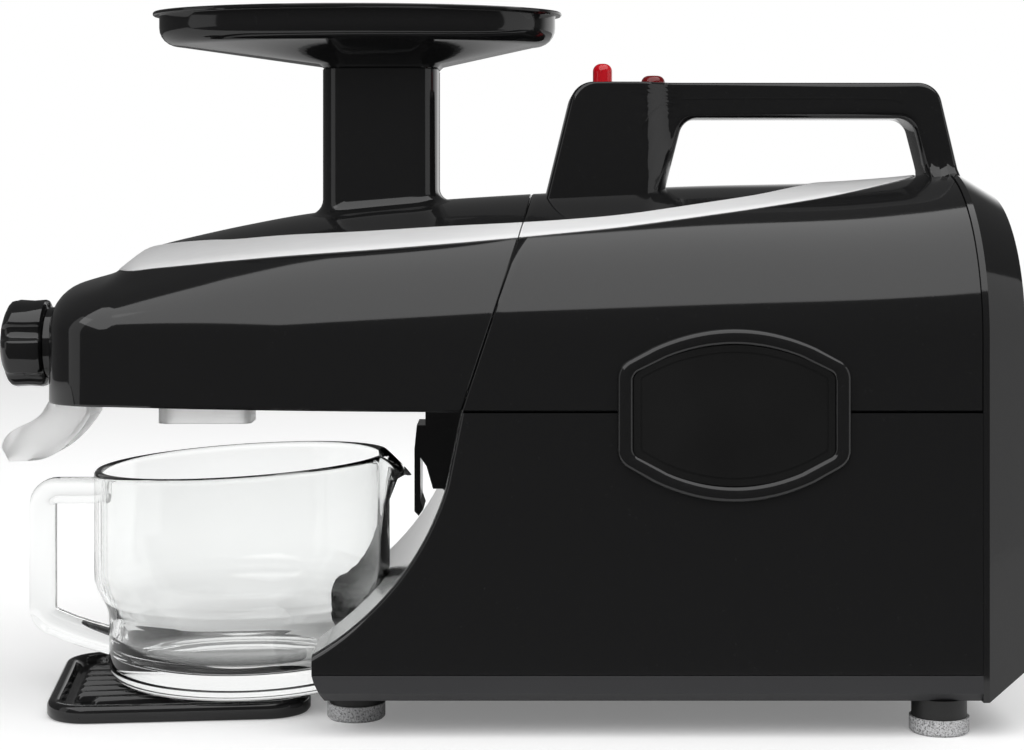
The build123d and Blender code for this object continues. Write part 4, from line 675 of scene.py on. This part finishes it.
def port_ring(like, depth):
    """Round hole in the slanted bulkhead, its points facing those of the ring like."""
    ring = []
    for _, across, z in like:
        length = math.hypot(across, z - AXIS_Z)
        height = AXIS_Z + PORT_RADIUS * (z - AXIS_Z) / length
        ring.append((seam_x(height) + SEAM_GAP + depth, PORT_RADIUS * across / length, height))
    return ring


def body_ring(share):
    """Ring at a share of the way from the joint's eased edge to that of the rear cover."""
    def station(z):
        front = seam_x(z) + SEAM_GAP + SEAM_EASE
        return front + share * (REAR_SEAM_X - REAR_EASE - front)

    return section_ring(station)


def build_body():
    """Upper body casing: slanted bulkhead with the drive port, and the arched skin behind it."""
    edge = section_ring(lambda z: seam_x(z) + SEAM_GAP, EASE_INSET, FLOOR_Z + EASE_FLOOR)
    rings = [port_ring(edge, PORT_DEPTH), port_ring(edge, 0.0), edge]
    rings += [body_ring(k / BODY_ROWS) for k in range(BODY_ROWS + 1)]
    rings.append(section_ring(lambda z: REAR_SEAM_X, REAR_EASE, FLOOR_Z + EASE_FLOOR))
    points, faces = tube_mesh(rings)
    piece = settle("body_casing", points, faces[:-2], "gloss_black", "base")
    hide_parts("upper_body_shell")


# ---------------------------------------------------------------- bright strip round the deck
# Plan of the strip's two edges on the far side, from its front tip to its rear one.
STRIP_OUTER = [(-177, 0), (-169.5, 34), (-151.5, 45.1), (-109.6, 57.1), (-64.7, 63.3), (-20.6, 64.2),
               (27.9, 61.3), (67.9, 57.1), (113.3, 48.5), (155.7, 34.8), (186.1, 17.2), (196, 0)]
STRIP_INNER = [(-164, 0), (-152, 16), (-131.1, 30.3), (-111.7, 39.6), (-65.7, 50.1), (-20.9, 52.6),
               (28.1, 52.2), (68.5, 47.8), (114.8, 34.6), (139.9, 17.4), (148, 8), (151, 0)]
STRIP_ROWS = 260
STRIP_SINK, STRIP_EDGE, STRIP_RISE = 1.2, 0.35, 0.45
STRIP_GAP = 0.006            # in steps between two points of an edge
BED_GROW, BED_RISE = 0.9, 0.05
HALVINGS = 40                # of the search for the joint along an edge


def round_line(side, place):
    """Point on the closed line drawn through side and its mirror image; place counts the points."""
    loop = side + [(x, -y) for x, y in reversed(side[1:-1])]
    index = math.floor(place)
    return spline_point([loop[(index + k) % len(loop)] for k in (-1, 0, 1, 2)], place - index)


def joint_place(side):
    """Place on an edge of the strip where it crosses the slanted joint."""
    low, high = 0.0, len(side) - 1.0
    for _ in range(HALVINGS):
        middle = (low + high) / 2
        x, y = round_line(side, middle)
        low, high = (middle, high) if x < seam_x(deck_z(x, y)) else (low, middle)
    return low


def strip_ring(outer, inner, grow, rise):
    """Ring across the strip between a place on its outer and one on its inner edge."""
    length = math.hypot(outer[0] - inner[0], outer[1] - inner[1])
    top = rise - STRIP_EDGE
    shape = [(-grow, -STRIP_SINK), (-grow, top), (-grow + STRIP_EDGE, rise)]
    shape += [(share * length, rise) for share in (0.25, 0.5, 0.75)]
    shape += [(length + grow - STRIP_EDGE, rise), (length + grow, top), (length + grow, -STRIP_SINK)]
    ring = []
    for run, lift in shape:
        x, y = between(outer, inner, run / length)
        ring.append((x, y, deck_z(x, y) + lift))
    return ring


def build_band(name, finish, body, start, end, grow, rise):
    """Band on the deck from one pair of places on the two edges to another."""
    rings = []
    for row in range(STRIP_ROWS + 1):
        outer, inner = between(start, end, row / STRIP_ROWS)
        rings.append(strip_ring(round_line(STRIP_OUTER, outer), round_line(STRIP_INNER, inner), grow, rise))
    return settle(name, *tube_mesh(rings), finish, body)


def build_strips():
    """Bright strip round housing and body, and the dark bed that it lies in."""
    joint = (joint_place(STRIP_OUTER), joint_place(STRIP_INNER))
    loop = 2 * (len(STRIP_OUTER) - 1)
    front = ([STRIP_GAP - p for p in joint], [p - STRIP_GAP for p in joint])
    rear = ([p + STRIP_GAP for p in joint], [loop - p - STRIP_GAP for p in joint])
    for name, node, body, ends in (("housing_strip", "housing_trim_strip", "juicing_head", front),
                                   ("body_strip", "body_trim_strip", "base", rear)):
        piece = build_band(name, "trim_silver", body, *ends, 0.0, STRIP_RISE)
        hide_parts(node)
    build_band("housing_strip_bed", "switch_black", "juicing_head", *front, BED_GROW, BED_RISE)
    build_band("body_strip_bed", "switch_black", "base", *rear, BED_GROW, BED_RISE)


build_housing()
build_body()
build_strips()


# ---------------------------------------------------------------- carry handle
HANDLE_OUTER = [(19.9, 222.0), (35.6, 286.0), (204.2, 286.0), (219.3, 222.0)]
HANDLE_OPENING = [(74.2, 222.0), (86.4, 269.4), (192.4, 269.4), (204.5, 222.0)]
OUTER_TURN, OPENING_TURN = 11.0, 8.5
LEG_STEPS, TURN_STEPS, GRIP_STEPS, ACROSS_STEPS = 14, 12, 30, 14
OUTER_EASE, OPENING_EASE = 2.5, 4.5
GRIP_HALF, BLOCK_EXTRA, FOOT_EXTRA = 15.0, 10.0, 3.5
BLOCK_END, BLOCK_TAPER = 68.0, 12.0
PILLAR_FOOT_X, PILLAR_FOOT_Z = (185.0, 192.0), (243.0, 246.0)


def bend(before, corner, after, radius, steps):
    """Points of the arc that rounds the corner between two straight lines."""
    arms = []
    for other in (before, after):
        length = math.hypot(other[0] - corner[0], other[1] - corner[1])
        arms.append(((other[0] - corner[0]) / length, (other[1] - corner[1]) / length))
    (ax, az), (bx, bz) = arms
    half = math.acos(ax * bx + az * bz) / 2
    cut = radius / math.tan(half)
    middle = (ax + bx, az + bz)
    reach = radius / math.sin(half) / math.hypot(*middle)
    centre = (corner[0] + middle[0] * reach, corner[1] + middle[1] * reach)
    first = math.atan2(corner[1] + az * cut - centre[1], corner[0] + ax * cut - centre[0])
    last = math.atan2(corner[1] + bz * cut - centre[1], corner[0] + bx * cut - centre[0])
    turn = (last - first + math.pi) % (2 * math.pi) - math.pi
    return arc(centre, radius, math.degrees(first), math.degrees(first + turn), steps)


def handle_line(corners, radius):
    """Leg, corner, grip, corner and leg, with the same number of points on every such line."""
    first = bend(*corners[0:3], radius, TURN_STEPS)
    second = bend(*corners[1:4], radius, TURN_STEPS)
    front_leg = [between(corners[0], first[0], k / LEG_STEPS) for k in range(LEG_STEPS)]
    grip = [between(first[-1], second[0], k / GRIP_STEPS) for k in range(1, GRIP_STEPS)]
    rear_leg = [between(second[-1], corners[3], k / LEG_STEPS) for k in range(1, LEG_STEPS + 1)]
    return front_leg + first + grip + second + rear_leg


def handle_half(x, z):
    """Half the handle's thickness: block in front, slim grip, pillar with a wider foot."""
    block = BLOCK_EXTRA * (1.0 - min(1.0, max(0.0, (x - BLOCK_END) / BLOCK_TAPER)))
    foot = smooth_step(x, *PILLAR_FOOT_X) * (1.0 - smooth_step(z, *PILLAR_FOOT_Z))
    return GRIP_HALF + block + FOOT_EXTRA * foot


def handle_ring(outer, inner):
    """Rounded section between a point of the outer line and one of the opening's line."""
    length = math.hypot(inner[0] - outer[0], inner[1] - outer[1])
    flat = length - OUTER_EASE - OPENING_EASE
    shape = quarter(OUTER_EASE)[::-1]
    shape += [(OUTER_EASE + flat * k / ACROSS_STEPS, 0.0) for k in range(1, ACROSS_STEPS)]
    shape += [(length - run, inset) for run, inset in quarter(OPENING_EASE)]
    ring = []
    for side in (-1, 1):
        half = []
        for run, inset in shape:
            x, z = between(outer, inner, run / length)
            half.append((x, side * (handle_half(x, z) - inset), z))
        ring += half if side < 0 else half[::-1]
    return ring


def build_handle():
    """Carry handle in one moulding with the lid of its grip."""
    outer, opening = handle_line(HANDLE_OUTER, OUTER_TURN), handle_line(HANDLE_OPENING, OPENING_TURN)
    points, faces = tube_mesh([handle_ring(a, b) for a, b in zip(outer, opening)])
    piece = settle("handle_moulding", points, faces, "gloss_black", "base")
    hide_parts("carry_handle", "grip_cover")


PARTING = [(66.5, 264.0), (68.6, 268.5), (72.5, 273.0), (78.0, 276.6), (85.0, 278.3), (112.0, 278.6),
           (140.0, 278.6), (168.0, 278.6), (182.0, 278.2), (188.0, 276.4)]
PARTING_ROWS = 90
BEAD = [(-0.3, 0.35), (0.15, 0.2), (0.15, -0.2), (-0.3, -0.35)]     # proud of the wall, above the line


def curve_at(points, place):
    """Smooth curve through points, place counting them from 0."""
    last = len(points) - 1
    index = min(int(place), last - 1)
    four = (points[max(index - 1, 0)], points[index], points[index + 1], points[min(index + 2, last)])
    return spline_point(four, place - index)


def build_parting_line():
    """Fine bead where the grip's lid meets the handle, on both sides."""
    for side, name in ((-1, "grip_bead_near"), (1, "grip_bead_far")):
        rings = []
        for k in range(PARTING_ROWS + 1):
            x, z = curve_at(PARTING, (len(PARTING) - 1) * k / PARTING_ROWS)
            rings.append([(x, side * (handle_half(x, z) + proud), z + above) for proud, above in BEAD])
        settle(name, *tube_mesh(rings), "gloss_black", "base")


build_handle()
build_parting_line()


# ---------------------------------------------------------------- hopper tray
HOPPER_X, HOPPER_LENGTH, HOPPER_WIDTH = -66.0, 192.0, 105.0
HOPPER_TURN, HOPPER_TURN_Z, HOPPER_WALL = 8.5, 303.6, 2.6
LIP_REACH = 3.0
CORNER_TURN = 23
# Length, width, corner and height of the neck's rings: down its bore, round its foot, up to the
# collar that sits on the chute, and out under the bowl.
NECK = [(42.6, 36.6, 7.0, 297.0), (42.6, 36.6, 7.0, 263.8), (44.0, 38.0, 7.6, 263.2),
        (46.0, 40.0, 8.6, 263.2), (47.0, 41.0, 9.2, 264.0), (47.0, 41.0, 9.2, 292.9),
        (53.6, 48.0, 12.0, 292.9), (54.4, 48.8, 12.4, 293.4), (57.0, 51.0, 13.5, 294.6)]
THROAT = (50.0, 44.0, 9.0, 297.6)
# Inset and height round the thin lip, from the outside of the wall to its inside.
LIP = [(0.0, 317.2), (-0.3, 317.6), (-2.5, 317.6), (-3.0, 318.1), (-3.0, 319.0), (-2.5, 319.5),
       (2.0, 319.5), (HOPPER_WALL, 318.9)]


def oval_ring(inset, z):
    """Ring of the hopper, inset from its upright wall."""
    half_x, half_y = HOPPER_LENGTH / 2 - LIP_REACH - inset, HOPPER_WIDTH / 2 - LIP_REACH - inset
    ring = []
    for corner in range(4):
        for k in range(CORNER_TURN + 1):
            angle = math.radians(90 * corner + 90 * k / CORNER_TURN)
            ring.append((HOPPER_X + half_x * math.cos(angle), half_y * math.sin(angle), z))
    return ring


def neck_ring(length, width, radius, z):
    return [(x, y, z) for x, y in rounded_plan(CHUTE_X, length, width, radius, CORNER_TURN)]


def bowl_turn(wall):
    """Rings of the turn from the bottom into the upright wall, on a skin that lies wall deep."""
    return [oval_ring(wall + inset, HOPPER_TURN_Z + wall + rise)
            for inset, rise in quarter(HOPPER_TURN - wall)]


def build_hopper():
    """Oval tray with a thin lip, its neck plugged into the feed chute."""
    rings = [neck_ring(*row) for row in NECK] + bowl_turn(0.0)
    rings += [oval_ring(inset, z) for inset, z in LIP] + bowl_turn(HOPPER_WALL)[::-1]
    rings += [neck_ring(*THROAT), rings[0]]
    points = [p for ring in rings for p in ring]
    faces = lathe_faces(len(rings), len(rings[0]))
    piece = settle("hopper_bowl", points, faces, "gloss_black", "hopper")
    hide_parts("hopper_tray")


# ---------------------------------------------------------------- outlet knob
KNOB_RADIUS, KNOB_CORE, KNOB_LOBES, KNOB_STEPS = 20.6, 18.6, 5, 180
FLUTE_RADIUS, FLUTE_REACH, FLUTE_BLEND = 4.8, 22.2, 1.2
# X, inset and share of the lobes along the knob, from its face to its back.
KNOB_ROWS = [(-232.0, 12.0, 0.0), (-231.8, 9.0, 0.0), (-231.2, 6.0, 0.1), (-230.2, 3.6, 0.3),
             (-228.8, 1.6, 0.7), (-227.2, 0.5, 1.0), (-225.4, 0.0, 1.0), (-219.0, 0.4, 1.0),
             (-213.5, 0.0, 1.0), (-212.0, 0.5, 1.0), (-211.2, 1.8, 0.8), (-211.0, 4.5, 0.4)]


def knob_radius(angle):
    """Outline of the lobed knob: a circle with round flutes."""
    pitch = 2 * math.pi / KNOB_LOBES
    away = (angle - math.pi / 2 + pitch / 2) % pitch - pitch / 2
    side = FLUTE_REACH * math.sin(away)
    if abs(side) >= FLUTE_RADIUS:
        return KNOB_RADIUS
    flute = FLUTE_REACH * math.cos(away) - math.sqrt(FLUTE_RADIUS ** 2 - side ** 2)
    share = max(0.0, min(1.0, 0.5 + (KNOB_RADIUS - flute) / (2 * FLUTE_BLEND)))
    return KNOB_RADIUS * (1 - share) + flute * share - FLUTE_BLEND * share * (1 - share)


def build_knob():
    """Lobed outlet knob."""
    rings = []
    for x, inset, lobed in KNOB_ROWS:
        ring = []
        for k in range(KNOB_STEPS):
            angle = 2 * math.pi * k / KNOB_STEPS
            radius = lobed * knob_radius(angle) + (1 - lobed) * KNOB_CORE - inset
            ring.append((x, radius * math.cos(angle), AXIS_Z + radius * math.sin(angle)))
        rings.append(ring)
    piece = settle("knob_grip", *tube_mesh(rings), "gloss_black", "knob")
    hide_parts("outlet_knob")


# ---------------------------------------------------------------- drip tray
TRAY_X, TRAY_LENGTH, TRAY_WIDTH, TRAY_ROUND = -147.6, 118.0, 118.0, 20.0
TRAY_TURN = math.radians(6.0)
# Inset and height round the rim, from the underside over its round top and down to the dish.
TRAY_RIM = [(6.0, 0.6), (3.0, 0.0), (1.0, 0.3), (0.0, 1.6), (0.0, 5.4), (0.5, 6.9), (1.5, 7.8), (2.8, 8.1),
            (4.1, 7.8), (5.2, 6.9), (6.0, 5.0), (6.8, 3.4), (8.6, 2.8)]
RIB_COUNT, RIB_PITCH, RIB_FOOT_Z = 8, 11.0, 2.0
RIB_REACH, OUTER_RIB_REACH, OUTER_RIB_FROM = 48.0, 40.0, 30.0
RIB_SECTION = [(-1.8, 2.0), (-1.4, 6.6), (-0.7, 7.6), (0.0, 7.9), (0.7, 7.6), (1.4, 6.6), (1.8, 2.0)]
RIB_END = [(0.0, 4.0), (1.5, 1.2), (4.0, 0.0)]       # in from the tip, and down from the top


def tray_place(x, y):
    """Place in plan of a point given along the turned tray."""
    return (TRAY_X + x * math.cos(TRAY_TURN) - y * math.sin(TRAY_TURN),
            x * math.sin(TRAY_TURN) + y * math.cos(TRAY_TURN))


def tray_ring(inset, z):
    length, width, radius = TRAY_LENGTH - 2 * inset, TRAY_WIDTH - 2 * inset, TRAY_ROUND - inset
    return [(*tray_place(x, y), z) for x, y in rounded_plan(0.0, length, width, radius, 12)]


def rib_mesh(rib):
    """Points and faces of one rib under the pitcher, shorter beyond the middle ones."""
    across = (rib - (RIB_COUNT - 1) / 2) * RIB_PITCH
    reach = RIB_REACH if abs(across) < OUTER_RIB_FROM else OUTER_RIB_REACH
    rows = [(-reach + run, drop) for run, drop in RIB_END] + [(0.0, 0.0)]
    rows += [(reach - run, drop) for run, drop in RIB_END[::-1]]
    rings = []
    for run, drop in rows:
        rings.append([(*tray_place(run, across + side), max(RIB_FOOT_Z, z - drop))
                      for side, z in RIB_SECTION])
    return tube_mesh(rings)


def build_tray():
    """Drip tray with a thick round rim and ribs that carry the pitcher."""
    points, faces = tube_mesh([tray_ring(*row) for row in TRAY_RIM])
    for rib in range(RIB_COUNT):
        rib_points, rib_faces = rib_mesh(rib)
        faces += moved(rib_faces, len(points))
        points += rib_points
    piece = settle("tray_dish", points, faces, "gloss_black", "tray")
    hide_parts("drip_tray")


# ---------------------------------------------------------------- badge bezel
BADGE_X, BADGE_HALF = 102.2, 50.2
BADGE_SIDES, BADGE_ARCHES = (119.0, 160.0), (101.7, 176.2)
BADGE_SHIN, BADGE_ROUND, ROUND_LOSS = 20.0, 9.0, 0.7
ARCH_ENTRY, ARCH_CLEAR, BADGE_STEPS = 12.0, 15.0, 20
# Inset and proud height over the frame's round back.
BADGE_SECTION = [(0.0, 0.0), (0.1, 1.2), (0.7, 2.0), (1.8, 2.5), (3.4, 2.6), (5.0, 2.4), (6.2, 1.8),
                 (6.8, 1.0), (6.8, 0.0)]


def badge_ring(inset, proud):
    """Rounded outline with arched top and foot, drawn in by inset on the near wall."""
    half, radius = BADGE_HALF - inset, BADGE_ROUND - ROUND_LOSS * inset
    ring = []
    for side, arch, toward in ((BADGE_SIDES[1] - inset / 2, BADGE_ARCHES[1] - inset, -1),
                               (BADGE_SIDES[0] + inset / 2, BADGE_ARCHES[0] + inset, 1)):
        def on_arch(x):
            return x, arch - (arch - side) * ((x - BADGE_X) / half) ** 2

        first, last = BADGE_X - toward * half, BADGE_X + toward * half
        shin = side + BADGE_SHIN * toward
        start, run = first + ARCH_CLEAR * toward, last - first - 2 * ARCH_CLEAR * toward
        ring += bend((first, shin), (first, side), on_arch(first + ARCH_ENTRY * toward), radius, 8)
        ring += [on_arch(start + run * k / BADGE_STEPS) for k in range(BADGE_STEPS + 1)]
        ring += bend(on_arch(last - ARCH_ENTRY * toward), (last, side), (last, shin), radius, 8)
    return [(x, -FULL_WIDTH - proud, z) for x, z in ring]


def build_bezel():
    """Round-backed frame of the badge."""
    rings = [badge_ring(*place) for place in BADGE_SECTION + BADGE_SECTION[:1]]
    points = [p for ring in rings for p in ring]
    piece = settle("badge_frame", points, lathe_faces(len(rings), len(rings[0])), "gloss_black", "base")
    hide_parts("badge_bezel")


build_hopper()
build_knob()
build_tray()
build_bezel()


# ---------------------------------------------------------------- stage
SHEET_HALF, SHEET_FRONT, SHEET_BACK = 1.6, -0.2, 2.4
PAPER_LIFT, FAR_LIFT = 0.2, 0.4      # bring the sheet up to white for the camera and through glass
LIFT_FROM, LIFT_TO = 0.05, 0.5
ROOM = 0.1                   # brightness of the dim room that gloss mirrors
WINDOW = 1.2                 # brightness of the tall window behind on the right, in gloss
WINDOW_SIDE, WINDOW_BACK = 0.6, 0.8
WINDOW_EDGE, WINDOW_CORE = 0.76, 0.97
WINDOW_TOP, WINDOW_END = 0.12, 0.4
FILL = 0.28                  # light from all round on what is matt
GLASS_FRONT = 0.3            # what glass sees in front, going over to the white sheet behind
SHEET_FROM, SHEET_FULL = 0.1, 0.8
SIDE, BACK, UP = 0, 1, 2


def white_paper():
    """White paper: white to the eye, while the light that falls on it still shows the shadow."""
    s = Shader("white_paper", Roughness=0.9, Specular_IOR_Level=0.1, Emission_Strength=1.0)
    s.wire(Base_Color=s.tint(s.noise(3.0, 2.0), grey(0.81), grey(0.83)))
    camera = s.node("ShaderNodeLightPath", output="Is Camera Ray")
    glass = s.node("ShaderNodeLightPath", output="Is Transmission Ray")
    away = s.node("ShaderNodeSeparateXYZ", inputs={0: s.place()}, output=BACK)
    lift = s.ease(away, LIFT_FROM, LIFT_TO, PAPER_LIFT, FAR_LIFT)
    s.wire(Emission_Color=s.tint(s.math("MAXIMUM", camera, glass) * lift, grey(0.0), grey(1.0)))
    return s.material


def build_floor():
    """Plain white sheet that meets the white background unseen."""
    mesh = bpy.data.meshes.new("studio_floor")
    corners = [(-SHEET_HALF, SHEET_FRONT, 0), (SHEET_HALF, SHEET_FRONT, 0), (SHEET_HALF, SHEET_BACK, 0),
               (-SHEET_HALF, SHEET_BACK, 0)]
    mesh.from_pydata(corners, [], [(0, 1, 2, 3)])
    floor = bpy.data.objects.new("studio_floor", mesh)
    bpy.context.scene.collection.objects.link(floor)
    mesh.materials.append(white_paper())


def build_world():
    """Dim room, white sheet behind, and a plain fill for what is matt."""
    world = bpy.data.worlds.new("studio")
    bpy.context.scene.world = world
    world.use_nodes = True
    tree = Tree(world.node_tree)

    def ray(kind):
        return tree.node("ShaderNodeLightPath", output=f"Is {kind} Ray")

    def toward(axis):
        direction = tree.node("ShaderNodeTexCoord", output="Generated")
        return tree.node("ShaderNodeSeparateXYZ", inputs={0: direction}, output=axis)

    eye = ray("Camera")
    glass = ray("Transmission") * (1.0 - eye)
    unseen = 1.0 - (eye + glass)
    gloss = ray("Glossy") * unseen
    matt = unseen - gloss
    window = tree.ease(toward(SIDE) * WINDOW_SIDE + toward(BACK) * WINDOW_BACK, WINDOW_EDGE, WINDOW_CORE,
                       0.0, WINDOW)
    mirrored = ROOM + window * tree.ease(toward(UP), WINDOW_TOP, WINDOW_END, 1.0, 0.0)
    behind_glass = tree.ease(toward(BACK), SHEET_FROM, SHEET_FULL, GLASS_FRONT, 1.0)
    background = tree.nodes["Background"]
    tree.feed(background.inputs["Strength"], eye + glass * behind_glass + gloss * mirrored + matt * FILL)
    tree.feed(background.inputs["Color"], grey(1.0))


# ---------------------------------------------------------------- light and camera
CAMERA_PLACE = (6.7 * MM, -1000 * MM, 231.5 * MM)
FOCAL_PIXELS = 2125.0        # focal length in widths of one image column
FRAME_SIZE = (1024, 750)
HORIZON_ROW = 200.0
SENSOR = 36.0


def lamp(name, place, aim, size, power, roll=0.0):
    """Rectangular softbox at place, turned to its aim and then about its own axis."""
    data = bpy.data.lights.new(name, "AREA")
    data.shape = "RECTANGLE"
    data.size, data.size_y = size
    data.energy = power
    box = bpy.data.objects.new(name, data)
    box.location = place
    turned = (Vector(aim) - Vector(place)).to_track_quat("-Z", "Y")
    box.rotation_euler = (turned @ Quaternion((0, 0, 1), math.radians(roll))).to_euler()
    bpy.context.scene.collection.objects.link(box)


def build_lamps():
    lamp("key_softbox", (0.0, -0.61, 1.46), (0.0, 0.0, 0.2), (3.4, 2.0), 41.0, 29.0)
    lamp("left_softbox", (-1.4, -0.5, 0.6), (-0.1, 0.0, 0.15), (0.6, 1.6), 1.8)
    lamp("right_softbox", (1.5, -0.35, 0.15), (0.2, 0.0, 0.15), (0.9, 1.5), 3.0)


def build_camera():
    """Level camera with its frame shifted down, so that uprights stay upright."""
    data = bpy.data.cameras.new("camera")
    data.sensor_fit = "HORIZONTAL"
    data.sensor_width = SENSOR
    data.lens = SENSOR * FOCAL_PIXELS / FRAME_SIZE[0]
    data.shift_y = -(FRAME_SIZE[1] / 2 - HORIZON_ROW) / FRAME_SIZE[0]
    data.clip_start = 0.01
    camera = bpy.data.objects.new("camera", data)
    camera.location = CAMERA_PLACE
    camera.rotation_euler = (math.radians(90), 0, 0)
    bpy.context.scene.collection.objects.link(camera)
    bpy.context.scene.camera = camera


build_floor()
build_world()
build_lamps()
build_camera()
bpy.context.scene.view_settings.view_transform = "Standard"
